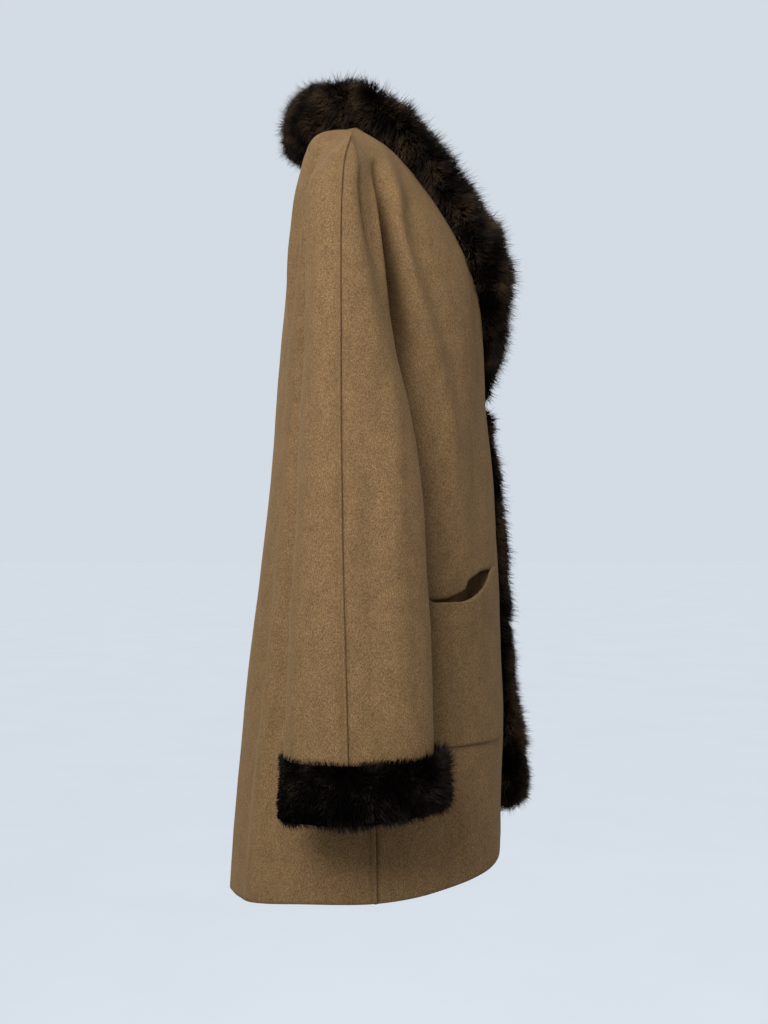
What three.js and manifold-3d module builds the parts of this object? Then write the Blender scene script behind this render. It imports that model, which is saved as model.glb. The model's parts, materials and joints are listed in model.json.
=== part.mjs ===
// A kimono-cut wool coat with a fur shawl collar, fur front bands and fur cuffs, worn with no wearer.
// Millimetres, +Z up, the front faces -Y and the wearer's right is at -X. The origin is the middle of the
// neck base, where a wearer's shoulders hold it up.
import * as THREE from "three";
import Module from "manifold-3d";

const WALL = 2.2; // brushed double-faced wool cloth
const SEAM_GAP = 0.3; // between two sewn edges
const LIE_GAP = 0.35; // between a panel and what lies on it
const ROUND = 0.42; // how far a sleeve's section fills its corners, 0.414 being an ellipse
const UPPER_ROWS = 10; // rows of faces from the shoulder seam to the underarm
const BODY_ROWS = 10; // from the underarm to the hem
const SLEEVE_ROWS = 8; // from the underarm to the cuff
const BODY_COLS = 10; // front edge to side seam, and side seam to the shoulder's neck point
const NECK_COLS = 4; // neck point to centre back
const HALF_SLEEVE_COLS = 7; // inner seam to overarm seam
const UNDERARM = 6; // the row of the tables below that is the underarm
const HEM = 12; // the body's last row
const CUFF = 10; // the sleeve's last row

// The fronts, one row for each level from the shoulder seam to the hem. The columns run from the front edge
// round the chest to the valley by the sleeve, which is the side seam below the underarm.
const FRONT = [
  { edge: [-78, 4, 0], chest: [-100, 5, -6], bust: [-122, 5, -13], ridge: [-143, 6, -19], side: [-163, 7, -26] },
  { edge: [-74, -30, -24], chest: [-98, -31, -28], bust: [-124, -26, -33], ridge: [-152, -20, -40], side: [-178, -9, -52] },
  { edge: [-66, -62, -62], chest: [-94, -66, -65], bust: [-128, -56, -70], ridge: [-170, -37, -80], side: [-188, -17, -88] },
  { edge: [-55, -92, -115], chest: [-92, -99, -117], bust: [-135, -83, -120], ridge: [-180, -46, -125], side: [-190, -23, -128] },
  { edge: [-42, -112, -170], chest: [-86, -121, -171], bust: [-138, -99, -172], ridge: [-180, -57, -175], side: [-184, -27, -177] },
  { edge: [-25, -122, -230], chest: [-80, -128, -231], bust: [-140, -104, -233], ridge: [-175, -61, -236], side: [-178, -20, -238] },
  { edge: [-14, -127, -290], chest: [-78, -129, -292], bust: [-140, -105, -296], ridge: [-170, -62, -298], side: [-178, 0, -300] },
  { edge: [-12, -134, -380], chest: [-75, -138, -380], bust: [-138, -114, -380], ridge: [-177, -66, -380], side: [-187, -4, -380] },
  { edge: [-12, -140, -460], chest: [-75, -143.5, -460], bust: [-143, -122, -460], ridge: [-187, -70, -460], side: [-197, -8, -460] },
  { edge: [-12, -143, -540], chest: [-76, -146.5, -540], bust: [-148, -127, -540], ridge: [-197, -73, -540], side: [-208, -11, -540] },
  { edge: [-12, -146, -620], chest: [-78, -149.5, -620], bust: [-154, -130, -620], ridge: [-207, -74, -620], side: [-219, -13, -620] },
  { edge: [-12, -146, -692], chest: [-80, -148, -696], bust: [-160, -131, -698], ridge: [-217, -74, -700], side: [-230, -16, -702] },
  { edge: [-19, -143.5, -731], chest: [-80, -148, -744], bust: [-165, -130, -756], ridge: [-225, -74, -767.5], side: [-238, -18, -775] },
];

// The sleeve above the underarm: its front fold, the overarm seam and its back fold.
const SLEEVE_TOP = [
  { front: [-184, 7.5, -33], over: [-200, 8, -42], back: [-184, 7.5, -33] },
  { front: [-204, -1, -64], over: [-217, 13, -64], back: [-200, 34, -60] },
  { front: [-215, -2, -94], over: [-232, 15, -90], back: [-213, 49, -90] },
  { front: [-222, -6, -130], over: [-243, 16, -127], back: [-221, 50, -127] },
  { front: [-225, -16, -177], over: [-252, 16, -176], back: [-227, 51, -176] },
  { front: [-225, -31, -238], over: [-262, 15.5, -236], back: [-231, 52, -238] },
];

// The sleeve from the underarm to the cuff: its reach inwards, outwards, forwards and back, and its level.
const SLEEVE = [
  { inner: -178, outer: -273, front: -47, back: 55, z: -300, seam: 0, over: 15 },
  { inner: -197, outer: -289, front: -59, back: 59, z: -373, seam: 2, over: 14 },
  { inner: -211, outer: -302, front: -65, back: 62, z: -450, seam: 3, over: 12.5 },
  { inner: -224, outer: -314, front: -68, back: 66, z: -532, seam: 3, over: 10 },
  { inner: -238, outer: -329, front: -70, back: 69, z: -630, seam: 3, over: 7 },
];

// The back, from the valley behind the sleeve to the centre. Its first row is the shoulder seam and neckline.
const BACK = [
  { side: [-163, 7, -26], shoulder: [-143, 6, -19], wide: [-122, 5, -13], blade: [-100, 5, -6], neck: [-78, 4, 0], near: [-64, 38, -13], mid: [-36, 56, -20], centre: [0, 62, -22] },
  { side: [-176, 38, -50], shoulder: [-156, 44, -34], wide: [-130, 48, -28], blade: [-106, 49, -23], neck: [-82, 49, -21], near: [-62, 58, -31], mid: [-34, 66, -38], centre: [0, 69, -42] },
  { side: [-188, 50, -86], shoulder: [-165, 58, -78], wide: [-138, 63, -72], blade: [-112, 64.4, -68], neck: [-86, 67, -67], near: [-62, 69.6, -70], mid: [-32, 72.6, -75], centre: [0, 74.4, -78] },
  { side: [-187, 47, -126], shoulder: [-168, 60, -124], wide: [-142, 68, -122], blade: [-116, 70.5, -121], neck: [-90, 74, -120], near: [-62, 75.5, -120], mid: [-32, 76.5, -121], centre: [0, 77, -122] },
  { side: [-182, 40, -176], shoulder: [-168, 60, -176], wide: [-144, 71, -176], blade: [-118, 74.5, -176], neck: [-92, 78, -176], near: [-64, 80.5, -176], mid: [-32, 80.5, -176], centre: [0, 80.5, -176] },
  { side: [-178, 24, -238], shoulder: [-166, 54, -238], wide: [-144, 71, -238], blade: [-118, 77.5, -238], neck: [-92, 83, -238], near: [-64, 85.5, -238], mid: [-32, 85.5, -238], centre: [0, 84.5, -238] },
  { side: [-178, 0, -300], shoulder: [-168, 44, -300], wide: [-146, 69, -300], blade: [-120, 79.5, -300], neck: [-93, 87, -300], near: [-64, 90.5, -300], mid: [-32, 90.5, -300], centre: [0, 88.5, -300] },
  { side: [-187, -4, -380], shoulder: [-179, 45, -380], wide: [-157, 72, -380], blade: [-129, 84.5, -380], neck: [-99, 93, -380], near: [-68, 96.5, -380], mid: [-34, 96.5, -380], centre: [0, 94.5, -380] },
  { side: [-197, -8, -462], shoulder: [-190, 47, -462], wide: [-167, 78, -462], blade: [-137, 92.5, -462], neck: [-104, 102, -462], near: [-71, 105.5, -462], mid: [-35, 105.5, -462], centre: [0, 102.5, -462] },
  { side: [-208, -11, -544], shoulder: [-201, 50, -544], wide: [-177, 83, -544], blade: [-145, 100.5, -544], neck: [-109, 111, -544], near: [-74, 114.5, -544], mid: [-37, 114.5, -544], centre: [0, 110.5, -544] },
  { side: [-219, -13, -626], shoulder: [-212, 53, -626], wide: [-187, 89, -627], blade: [-153, 108.5, -628], neck: [-114, 119, -628], near: [-76, 122.5, -628], mid: [-38, 122.5, -628], centre: [0, 118.5, -628] },
  { side: [-230, -16, -706], shoulder: [-223, 55, -711], wide: [-197, 94, -714], blade: [-161, 114.5, -716], neck: [-119, 126, -716], near: [-79, 129.5, -716], mid: [-39, 129.5, -716], centre: [0, 124.5, -716] },
  { side: [-238, -18, -775], shoulder: [-232, 56, -777], wide: [-205, 97, -782.5], blade: [-168, 118.5, -786], neck: [-124, 131, -789], near: [-82, 134.5, -791.5], mid: [-41, 134.5, -793.5], centre: [0, 129.5, -794] },
];

// Soft folds pressed into the cloth: the column and rows of the loop they run along, their half width in
// columns and their depth, outwards being positive.
const FOLDS = [
  { from: [1.55, 4.4], to: [2.5, 8.2], wide: 0.42, depth: -2.2 },
  { from: [2.6, 6.6], to: [2.2, 12.4], wide: 0.5, depth: 2.4 },
  { from: [1.3, 8.6], to: [1.15, 12.4], wide: 0.4, depth: -2.0 },
  { from: [13.5, 7.0], to: [13.7, 12.4], wide: 0.6, depth: 2.4 },
  { from: [14.9, 7.4], to: [15.1, 12.4], wide: 0.55, depth: -4.2 },
  { from: [16.6, 6.8], to: [16.9, 12.4], wide: 0.6, depth: 1.4 },
  { from: [18.1, 7.6], to: [18.0, 12.4], wide: 0.6, depth: -3.0 },
  { from: [12.9, 2.2], to: [14.6, 5.4], wide: 0.5, depth: -2.4 },
];
const SLEEVE_FOLDS = [
  { from: [6.8, 6.4], to: [7.1, 10.2], wide: 0.5, depth: -1.6 },
  { from: [10.6, 5.8], to: [9.5, 8.6], wide: 0.45, depth: -2.2 },
  { from: [5.4, 7.2], to: [6.3, 8.8], wide: 0.5, depth: -2.0 },
];

// The fur collar: a station for each section from the centre back to its foot, with the way its wide axis
// points, and its half width and half depth.
const COLLAR = [
  { at: [0, 62, 13], along: [0, -0.22, 0.97], wide: 37, deep: 23 },
  { at: [-44, 53, 14], along: [0.05, -0.2, 0.97], wide: 35, deep: 24 },
  { at: [-76, 30, 12], along: [-0.35, 0, 0.93], wide: 36, deep: 25 },
  { at: [-89, 2, 12], along: [-0.7, 0, 0.7], wide: 34, deep: 26 },
  { at: [-89, -29, -1], along: [-0.9, 0.1, 0.45], wide: 36, deep: 26 },
  { at: [-83, -60, -34], along: [-1, 0.1, 0.2], wide: 39, deep: 27 },
  { at: [-75, -92, -78], along: [-1, 0.1, 0], wide: 42, deep: 29 },
  { at: [-65, -119, -122], along: [-1, 0.1, 0], wide: 42, deep: 31 },
  { at: [-54, -132, -172], along: [-1, 0, 0], wide: 39, deep: 29 },
  { at: [-41, -131, -220], along: [-1, 0, 0], wide: 33, deep: 23 },
  { at: [-31, -130, -256], along: [-1, 0, 0], wide: 24, deep: 14 },
  { at: [-26, -129, -278], along: [-1, 0, 0], wide: 15, deep: 8 },
];
const COLLAR_SPLIT = 3; // the station at the shoulder line, where the collar's pieces meet

// The fur bands down the front edges: how far each section stands proud of the cloth, and its reach.
const BAND = [
  { z: -296, proud: 6, near: -5, far: -32 },
  { z: -303, proud: 10, near: -2.5, far: -42 },
  { z: -330, proud: 12, near: -1.5, far: -48 },
  { z: -380, proud: 13, near: -1.5, far: -51 },
  { z: -445, proud: 13.5, near: -1.5, far: -53 },
  { z: -510, proud: 15, near: -1.5, far: -54 },
  { z: -575, proud: 17, near: -1.5, far: -56 },
  { z: -638, proud: 25, near: -1.5, far: -58 },
  { z: -688, proud: 33, near: -1.5, far: -58 },
  { z: -714, proud: 31, near: -2.5, far: -54 },
  { z: -727, proud: 20, near: -9, far: -44 },
];

// The cuffs' section: how far out from the cloth as a share of the pile there, more millimetres, and how
// far below the sleeve's end.
const CUFF_SECTION = [
  { share: 0, out: -WALL, down: 0.4 },
  { share: 0, out: -0.9, down: -5 },
  { share: 0.45, out: 1, down: -7 },
  { share: 0.95, out: 0, down: 4 },
  { share: 1, out: 0, down: 22 },
  { share: 0.95, out: 0, down: 42 },
  { share: 0.45, out: 0, down: 56 },
  { share: 0, out: -WALL, down: 58 },
  { share: 0, out: -WALL, down: 29 },
];
const CUFF_PILE = { front: 16, back: 6, outer: 9, inner: 6 };
const CUFF_LEAN = 0.13; // how far the cuff moves out for each millimetre down, as its sleeve does

// The patch pocket on the front's loop: its columns, and its rows at the mouth's corners and the foot.
const POCKET = { from: 1.5, to: 3.55, mouth: 8.0, foot: 10.15, sag: 0.42, gape: 12, cols: 10, rows: 8 };

const HOOK_Z = -288;
const WIRE = 0.8; // half the closure's wire

const v3 = (p) => new THREE.Vector3(...p);
const clamp = (x, low = 0, high = 1) => Math.min(high, Math.max(low, x));
const ease = (x) => clamp(x) ** 2 * (3 - 2 * clamp(x));
const mix = (a, b, t) => a.clone().lerp(b, t);

// A smooth curve through points, where parameter 1 is the second point.
function curveOf(points) {
  const curve = new THREE.CatmullRomCurve3(points, false, "centripetal");
  return (t) => curve.getPoint(clamp(t / (points.length - 1)));
}

// A sleeve section's corner between its front or back fold and the overarm seam.
function cornerOf(fold, over) {
  const corner = new THREE.Vector3(over.x, fold.y, (fold.z + over.z) / 2);
  return mix(mix(fold, over, 0.5), corner, ROUND);
}

// A level's points on the sleeve above the underarm, from the front valley to the back one.
function sleeveTop(row) {
  const { front, over, back } = SLEEVE_TOP[row];
  const [f, o, b] = [v3(front), v3(over), v3(back)];
  const side = v3(FRONT[row].side);
  const rear = v3(BACK[row].side);
  const fill = [0, 0, 0, 0, 3, 7][row];
  const inFront = mix(side, f, 0.5).add(new THREE.Vector3(fill * 0.6, -fill, 0));
  const behind = mix(rear, b, 0.5).add(new THREE.Vector3(fill * 0.4, fill * 0.8, 0));
  return [inFront, f, cornerOf(f, o), o, cornerOf(b, o), b, behind];
}

// The same points of a level from the underarm down.
function sleeveSection({ inner, outer, front, back, z, seam, over }) {
  const middle = (inner + outer) / 2;
  const at = (x, y) => new THREE.Vector3(x, y, z);
  const seamPoint = at(inner, seam);
  const [f, o, b] = [at(middle, front), at(outer, over), at(middle, back)];
  return { seam: seamPoint, round: [cornerOf(f, seamPoint), f, cornerOf(f, o), o, cornerOf(b, o), b, cornerOf(b, seamPoint)] };
}

const frontCols = ["edge", "chest", "bust", "ridge", "side"];
const backCols = ["side", "shoulder", "wide", "blade", "neck", "near", "mid", "centre"];
const frontPaths = frontCols.map((name) => curveOf(FRONT.map((row) => v3(row[name]))));
const backPaths = backCols.map((name) => curveOf(BACK.map((row) => v3(row[name]))));
const sections = SLEEVE.map(sleeveSection);
const sleevePaths = [0, 1, 2, 3, 4, 5, 6].map((k) =>
  curveOf([...[0, 1, 2, 3, 4, 5].map((row) => sleeveTop(row)[k]), ...sections.map((s) => s.round[k])]),
);
const underSeam = curveOf([
  ...[0, 1, 2, 3, 4, 5].map((row) => v3(FRONT[row].side)),
  ...sections.map((s) => s.seam),
]);
const mirror = (p) => new THREE.Vector3(-p.x, p.y, p.z);

// The depth of the soft folds at a column and row of the loop, which ends at the seams.
function foldAt(folds, u, v) {
  let sum = 0;
  const away = Math.min(...[4, 8, 12].map((seam) => Math.abs(u - seam)));
  for (const { from, to, wide, depth } of folds) {
    const t = (v - from[1]) / (to[1] - from[1]);
    if (t < 0 || t > 1) continue;
    const off = (u - (from[0] + (to[0] - from[0]) * t)) / wide;
    const fade = to[1] > HEM ? Math.min(1, t * 1.6) : Math.sin(Math.PI * t);
    sum += depth * fade * Math.exp(-off * off);
  }
  return sum * ease(away / 0.4);
}

// Columns of the whole loop: 0 the front edge, 4 the side or inner seam, 8 the overarm seam, 12 the back's
// side or inner seam, 16 the neck point and 19 the centre back.
function upperPoint(u, v) {
  const body = frontPaths.map((path) => path(v));
  const sleeve = sleevePaths.map((path) => path(v));
  const back = backPaths.map((path) => path(v));
  if (v === 0 && u <= 16) {
    const half = [...body, ...sleeve.slice(0, 4)];
    return curveOf(half)(u <= 8 ? u : 16 - u);
  }
  if (v === 0) return curveOf([...back.slice(4), mirror(back[6])])(u - 16);
  return curveOf([...body, ...sleeve, ...back, mirror(back[6])])(u);
}

function bodyPoint(u, v) {
  const body = frontPaths.map((path) => path(v));
  const back = backPaths.slice(1).map((path) => path(v));
  const loop = curveOf([...body, ...back, mirror(back[5])]);
  return loop(u <= 4 ? u : u - 8);
}

function sleevePoint(u, v) {
  const round = sleevePaths.map((path) => path(v));
  const seam = underSeam(v);
  return curveOf([round[6], seam, ...round, seam, round[0]])(u - 3);
}

// A point of the cloth's outer face, with its folds.
function clothPoint(u, v, place) {
  const bare = place === "sleeve" ? sleevePoint : v <= UNDERARM ? upperPoint : bodyPoint;
  const p = bare(u, v);
  const depth = foldAt(place === "sleeve" ? SLEEVE_FOLDS : FOLDS, u, v);
  if (Math.abs(depth) < 1e-3) return p;
  const near = 0.02;
  const along = bare(u + near, v).sub(bare(u - near, v));
  const down = bare(u, v + near).sub(bare(u, v - near));
  return p.addScaledVector(along.cross(down).normalize(), depth);
}

// A panel as points and faces, with the points on a seam marked.
class Panel {
  constructor() {
    this.points = [];
    this.faces = [];
    this.index = new Map();
  }

  point(key, make) {
    if (!this.index.has(key)) {
      this.index.set(key, this.points.length);
      this.points.push(make());
    }
    return this.index.get(key);
  }

  // Lays faces between columns and rows of the loop.
  lay(us, vs, place, side) {
    const key = (u, v) => {
      const seam = v > UNDERARM + 1e-6 && (Math.abs(u - 4) < 1e-6 || Math.abs(u - 12) < 1e-6);
      const centre = Math.abs(u - 19) < 1e-6;
      return [u.toFixed(4), v.toFixed(4), seam ? place : "", centre ? "" : side].join(" ");
    };
    const id = (u, v) =>
      this.point(key(u, v), () => {
        const p = clothPoint(u, v, v > UNDERARM + 1e-6 ? place : "upper");
        return side > 0 ? mirror(p) : p;
      });
    for (let i = 0; i + 1 < vs.length; i++)
      for (let j = 0; j + 1 < us.length; j++) {
        const quad = [id(us[j], vs[i]), id(us[j + 1], vs[i]), id(us[j + 1], vs[i + 1]), id(us[j], vs[i + 1])];
        this.faces.push(side > 0 ? quad.reverse() : quad);
      }
  }
}

const steps = (from, to, count) => Array.from({ length: count + 1 }, (_, k) => from + ((to - from) * k) / count);
const upperRows = steps(0, UNDERARM, UPPER_ROWS);
const bodyRows = steps(UNDERARM, HEM, BODY_ROWS);
const sleeveRows = steps(UNDERARM, CUFF, SLEEVE_ROWS);

function frontPanel(side) {
  const panel = new Panel();
  const body = steps(0, 4, BODY_COLS);
  const sleeve = steps(4, 8, HALF_SLEEVE_COLS);
  panel.lay(body, upperRows, "body", side);
  panel.lay(sleeve, upperRows, "sleeve", side);
  panel.lay(body, bodyRows, "body", side);
  panel.lay(sleeve, sleeveRows, "sleeve", side);
  return panel;
}

function backPanel() {
  const panel = new Panel();
  for (const side of [-1, 1]) {
    const body = [...steps(12, 16, BODY_COLS), ...steps(16, 19, NECK_COLS).slice(1)];
    const sleeve = steps(8, 12, HALF_SLEEVE_COLS);
    panel.lay(body, upperRows, "body", side);
    panel.lay(sleeve, upperRows, "sleeve", side);
    panel.lay(body, bodyRows, "body", side);
    panel.lay(sleeve, sleeveRows, "sleeve", side);
  }
  return panel;
}

const spot = (p) => [p.x, p.y, p.z].map((x) => Math.round(x * 97.3)).join(" ");

// Normals of the whole garment, so that the pieces of a seam share theirs.
function sharedNormals(panels) {
  const sums = new Map();
  for (const { points, faces } of panels)
    for (const [a, b, c, d] of faces) {
      const across = points[c].clone().sub(points[a]);
      const normal = across.cross(points[d].clone().sub(points[b]));
      for (const k of [a, b, c, d]) {
        const where = spot(points[k]);
        if (!sums.has(where)) sums.set(where, new THREE.Vector3());
        sums.get(where).add(normal);
      }
    }
  return (p) => sums.get(spot(p)).clone().normalize();
}

// A closed wall from a panel: its outer and inner faces at two offsets, with its borders pulled in.
function wallOf({ points, faces }, normalOf, outer, inner, pull) {
  const edges = new Map();
  for (const face of faces)
    face.forEach((a, k) => {
      const b = face[(k + 1) % face.length];
      if (!edges.delete(b + "," + a)) edges.set(a + "," + b, [a, b]);
    });
  const inward = new Map();
  for (const [a, b] of edges.values()) {
    for (const k of [a, b]) {
      const dir = normalOf(points[k], k).cross(points[b].clone().sub(points[a])).normalize();
      inward.set(k, (inward.get(k) || new THREE.Vector3()).add(dir));
    }
  }
  const positions = [];
  points.forEach((p, k) => {
    const n = normalOf(p, k);
    const q = p.clone();
    if (inward.has(k)) {
      const dir = inward.get(k).clone();
      const half = clamp(dir.length() / 2, 0.4, 1);
      q.addScaledVector(dir.normalize(), pull / half);
    }
    positions.push(q.clone().addScaledVector(n, outer), q.clone().addScaledVector(n, inner));
  });
  const triangles = [];
  for (const [a, b, c, d] of faces) {
    const short = points[a].distanceTo(points[c]) <= points[b].distanceTo(points[d]);
    const halves = short ? [[a, b, c], [a, c, d]] : [[a, b, d], [b, c, d]];
    for (const [p, q, r] of halves)
      triangles.push([2 * p, 2 * q, 2 * r], [2 * p + 1, 2 * r + 1, 2 * q + 1]);
  }
  for (const [a, b] of edges.values()) {
    const [p, q] = [points[a], points[b]];
    const [ao, ai, bo, bi] = [2 * a, 2 * a + 1, 2 * b, 2 * b + 1];
    // Both sides of a seam split their borders the same way.
    if (p.z - q.z + (p.x - q.x) * 0.01 > 0) triangles.push([ao, ai, bi], [ao, bi, bo]);
    else triangles.push([ao, ai, bo], [ai, bi, bo]);
  }
  return { positions, triangles };
}

const wasm = await Module();
wasm.setup();

function solidOf({ positions, triangles }) {
  return new wasm.Manifold(
    new wasm.Mesh({
      numProp: 3,
      vertProperties: new Float32Array(positions.flatMap((p) => [p.x, p.y, p.z])),
      triVerts: new Uint32Array(triangles.flat()),
    }),
  );
}

// The largest body of a solid, so that no crumb of a cut stays.
function largest(solid) {
  return solid.decompose().reduce((a, b) => (a.volume() > b.volume() ? a : b));
}

function meshOf(name, solid, material) {
  const mesh = solid.getMesh();
  const geometry = new THREE.BufferGeometry();
  const flat = new Float32Array(mesh.numVert * 3);
  for (let k = 0; k < mesh.numVert; k++)
    for (let axis = 0; axis < 3; axis++) flat[k * 3 + axis] = mesh.vertProperties[k * mesh.numProp + axis];
  geometry.setAttribute("position", new THREE.BufferAttribute(flat, 3));
  geometry.setIndex(new THREE.BufferAttribute(new Uint32Array(mesh.triVerts), 1));
  geometry.computeVertexNormals();
  const made = new THREE.Mesh(geometry, material);
  made.name = name;
  return made;
}

// A solid through closed sections of the same count of points, with flat ends.
function loft(rings, closed = false) {
  const count = rings[0].length;
  const positions = rings.flat();
  const triangles = [];
  const last = closed ? rings.length : rings.length - 1;
  for (let i = 0; i < last; i++)
    for (let j = 0; j < count; j++) {
      const [a, b] = [i * count + j, i * count + ((j + 1) % count)];
      const next = (i + 1) % rings.length;
      const [c, d] = [next * count + ((j + 1) % count), next * count + j];
      triangles.push([a, b, c], [a, c, d]);
    }
  if (!closed) {
    for (const [ring, turn] of [[0, -1], [rings.length - 1, 1]]) {
      const centre = new THREE.Vector3();
      rings[ring].forEach((p) => centre.addScaledVector(p, 1 / count));
      const middle = positions.push(centre) - 1;
      for (let j = 0; j < count; j++) {
        const [a, b] = [ring * count + j, ring * count + ((j + 1) % count)];
        triangles.push(turn > 0 ? [a, b, middle] : [b, a, middle]);
      }
    }
  }
  let volume = 0;
  for (const [a, b, c] of triangles)
    volume += positions[a].dot(positions[b].clone().cross(positions[c]));
  if (volume < 0) triangles.forEach((t) => t.reverse());
  return { positions, triangles };
}

const flip = ({ positions, triangles }) => ({
  positions: positions.map(mirror),
  triangles: triangles.map(([a, b, c]) => [a, c, b]),
});

// The collar's sections between two stations, with stations below zero being the left half's.
function collarRings(from, to, count, points) {
  const read = (name) => curveOf([v3(COLLAR[1][name]), ...COLLAR.map((s) => v3(s[name]))].map((p, k) => (k ? p : mirror(p))));
  const [centre, along] = [read("at"), read("along")];
  const size = curveOf([COLLAR[1], ...COLLAR].map((s) => new THREE.Vector3(s.wide, s.deep, 0)));
  const at = (s) => (s < 0 ? mirror(centre(1 - s)) : centre(1 + s));
  return steps(from, to, count).map((s) => {
    const tangent = at(s + 0.02).sub(at(s - 0.02)).normalize();
    const wide = along(1 + Math.abs(s));
    if (s < 0) wide.x = -wide.x;
    wide.addScaledVector(tangent, -wide.dot(tangent)).normalize();
    const deep = tangent.clone().cross(wide);
    const half = size(1 + Math.abs(s));
    const lumps = 1 + 0.04 * Math.sin(5.1 * s) * Math.cos(2.3 * s);
    const shift = clamp((SEAM_GAP / 2) * (s === from ? 1 : s === to ? -1 : 0), -1, 1);
    return steps(0, 2 * Math.PI, points)
      .slice(0, -1)
      .map((angle) =>
        at(s)
          .addScaledVector(wide, half.x * lumps * Math.cos(angle))
          .addScaledVector(deep, half.y * lumps * Math.sin(angle))
          .addScaledVector(tangent, shift),
      );
  });
}

// The front cloth's outer face near the front edge, at a level and a distance from the centre.
function frontFace(x, z) {
  const row = (name, axis) => {
    const k = clamp(FRONT.findIndex((r) => r[name][2] < z), 1, FRONT.length - 1);
    const [a, b] = [FRONT[k - 1][name], FRONT[k][name]];
    return a[axis] + ((b[axis] - a[axis]) * (z - a[2])) / (b[2] - a[2]);
  };
  const [x0, x1] = [row("edge", 0), row("chest", 0)];
  return row("edge", 1) + ((row("chest", 1) - row("edge", 1)) * (x - x0)) / (x1 - x0);
}

function bandRings() {
  return BAND.map(({ z, proud, near, far }, k) => {
    const lumps = 1 + 0.06 * Math.sin(k * 2.1);
    const across = steps(0, Math.PI, 8).map((angle) => {
      const x = (near + far) / 2 + ((near - far) / 2) * Math.cos(angle);
      return new THREE.Vector3(x, frontFace(x, z) + 1.2 - (proud * lumps + 1.2) * Math.sin(angle) ** 0.7, z);
    });
    const under = [0.28, 0.72].map((t) => {
      const x = far + (near - far) * t;
      return new THREE.Vector3(x, frontFace(x, z) + 1.2, z);
    });
    return [...across, ...under];
  });
}

function cuffRings() {
  const around = [...steps(4, 8, 11).slice(0, -1), ...steps(8, 12, 11).slice(0, -1)];
  const { inner, outer, front, back } = CUFF_PILE;
  return around.map((u) => {
    const p = sleevePoint(u, CUFF);
    const along = sleevePoint(u + 0.02, CUFF).sub(sleevePoint(u - 0.02, CUFF));
    const out = along.cross(new THREE.Vector3(0, 0, -1)).normalize();
    const pile =
      (out.y < 0 ? front : back) * out.y ** 2 + (out.x < 0 ? outer : inner) * out.x ** 2;
    return CUFF_SECTION.map(({ share, out: more, down }) =>
      p.clone().addScaledVector(out, pile * share + more).add(new THREE.Vector3(-CUFF_LEAN * down, 0, -down)),
    );
  });
}

// The pocket's patch: the front's own points moved out, gaping at the mouth.
function pocketPanel() {
  const panel = new Panel();
  const { from, to, mouth, foot, sag, gape, cols, rows } = POCKET;
  const normals = [];
  const id = (i, j) => i * (cols + 1) + j;
  for (let i = 0; i <= rows; i++)
    for (let j = 0; j <= cols; j++) {
      const [a, b] = [j / cols, i / rows];
      const arch = ease(a / 0.6) * ease((1 - a) / 0.24);
      const top = mouth + sag * arch;
      const v = top + (foot - top) * b;
      const u = from + (to - from) * a;
      const near = 0.02;
      const along = clothPoint(u + near, v, "body").sub(clothPoint(u - near, v, "body"));
      const down = clothPoint(u, v + near, "body").sub(clothPoint(u, v - near, "body"));
      const n = along.cross(down).normalize();
      const out = LIE_GAP + gape * arch ** 0.9 * (1 - b) ** 2.2;
      panel.points.push(clothPoint(u, v, "body").addScaledVector(n, out));
      normals.push(n);
      if (i < rows && j < cols) panel.faces.push([id(i, j), id(i, j + 1), id(i + 1, j + 1), id(i + 1, j)]);
    }
  return { panel, normalOf: (p, k) => normals[k].clone() };
}

function tube(points, radius, count, sides = 8) {
  const curve = new THREE.CatmullRomCurve3(points.map(v3), false, "centripetal");
  const frames = curve.computeFrenetFrames(count, false);
  return loft(
    steps(0, 1, count).map((t, k) =>
      steps(0, 2 * Math.PI, sides)
        .slice(0, -1)
        .map((angle) =>
          curve
            .getPointAt(t)
            .addScaledVector(frames.normals[k], radius * Math.cos(angle))
            .addScaledVector(frames.binormals[k], radius * Math.sin(angle)),
        ),
    ),
  );
}

const WOOL = new THREE.MeshStandardMaterial({ color: 0x86694a, roughness: 0.95, metalness: 0 });
const FUR = new THREE.MeshStandardMaterial({ color: 0x1a130f, roughness: 0.85, metalness: 0 });
const WIRE_METAL = new THREE.MeshStandardMaterial({ color: 0x2a2623, roughness: 0.4, metalness: 0.8 });

const group = new THREE.Group();
const panels = { front_right: frontPanel(-1), front_left: frontPanel(1), back: backPanel() };
const shared = sharedNormals(Object.values(panels));
for (const [name, panel] of Object.entries(panels))
  group.add(meshOf(name, solidOf(wallOf(panel, shared, 0, -WALL, SEAM_GAP / 2)), WOOL));
const tools = Object.values(panels).map((panel) =>
  solidOf(wallOf(panel, shared, LIE_GAP, -WALL - LIE_GAP, -SEAM_GAP / 2)),
);
const clear = (solid) => largest(tools.reduce((left, tool) => left.subtract(tool), solid));

const patch = pocketPanel();
const pocket = wallOf(patch.panel, patch.normalOf, WALL, 0, 0);
const pieces = {
  collar_back: [loft(collarRings(-COLLAR_SPLIT, COLLAR_SPLIT, 16, 16))],
  collar_right: [loft(collarRings(COLLAR_SPLIT, COLLAR.length - 1, 14, 16))],
  band_right: [loft(bandRings())],
  cuff_right: [loft(cuffRings(), true)],
  pocket_right: [pocket],
};
for (const [name, [shape]] of Object.entries(pieces)) {
  const material = name.startsWith("pocket") ? WOOL : FUR;
  group.add(meshOf(name, clear(solidOf(shape)), material));
  if (name.endsWith("right"))
    group.add(meshOf(name.replace("right", "left"), clear(solidOf(flip(shape))), material));
}

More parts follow.
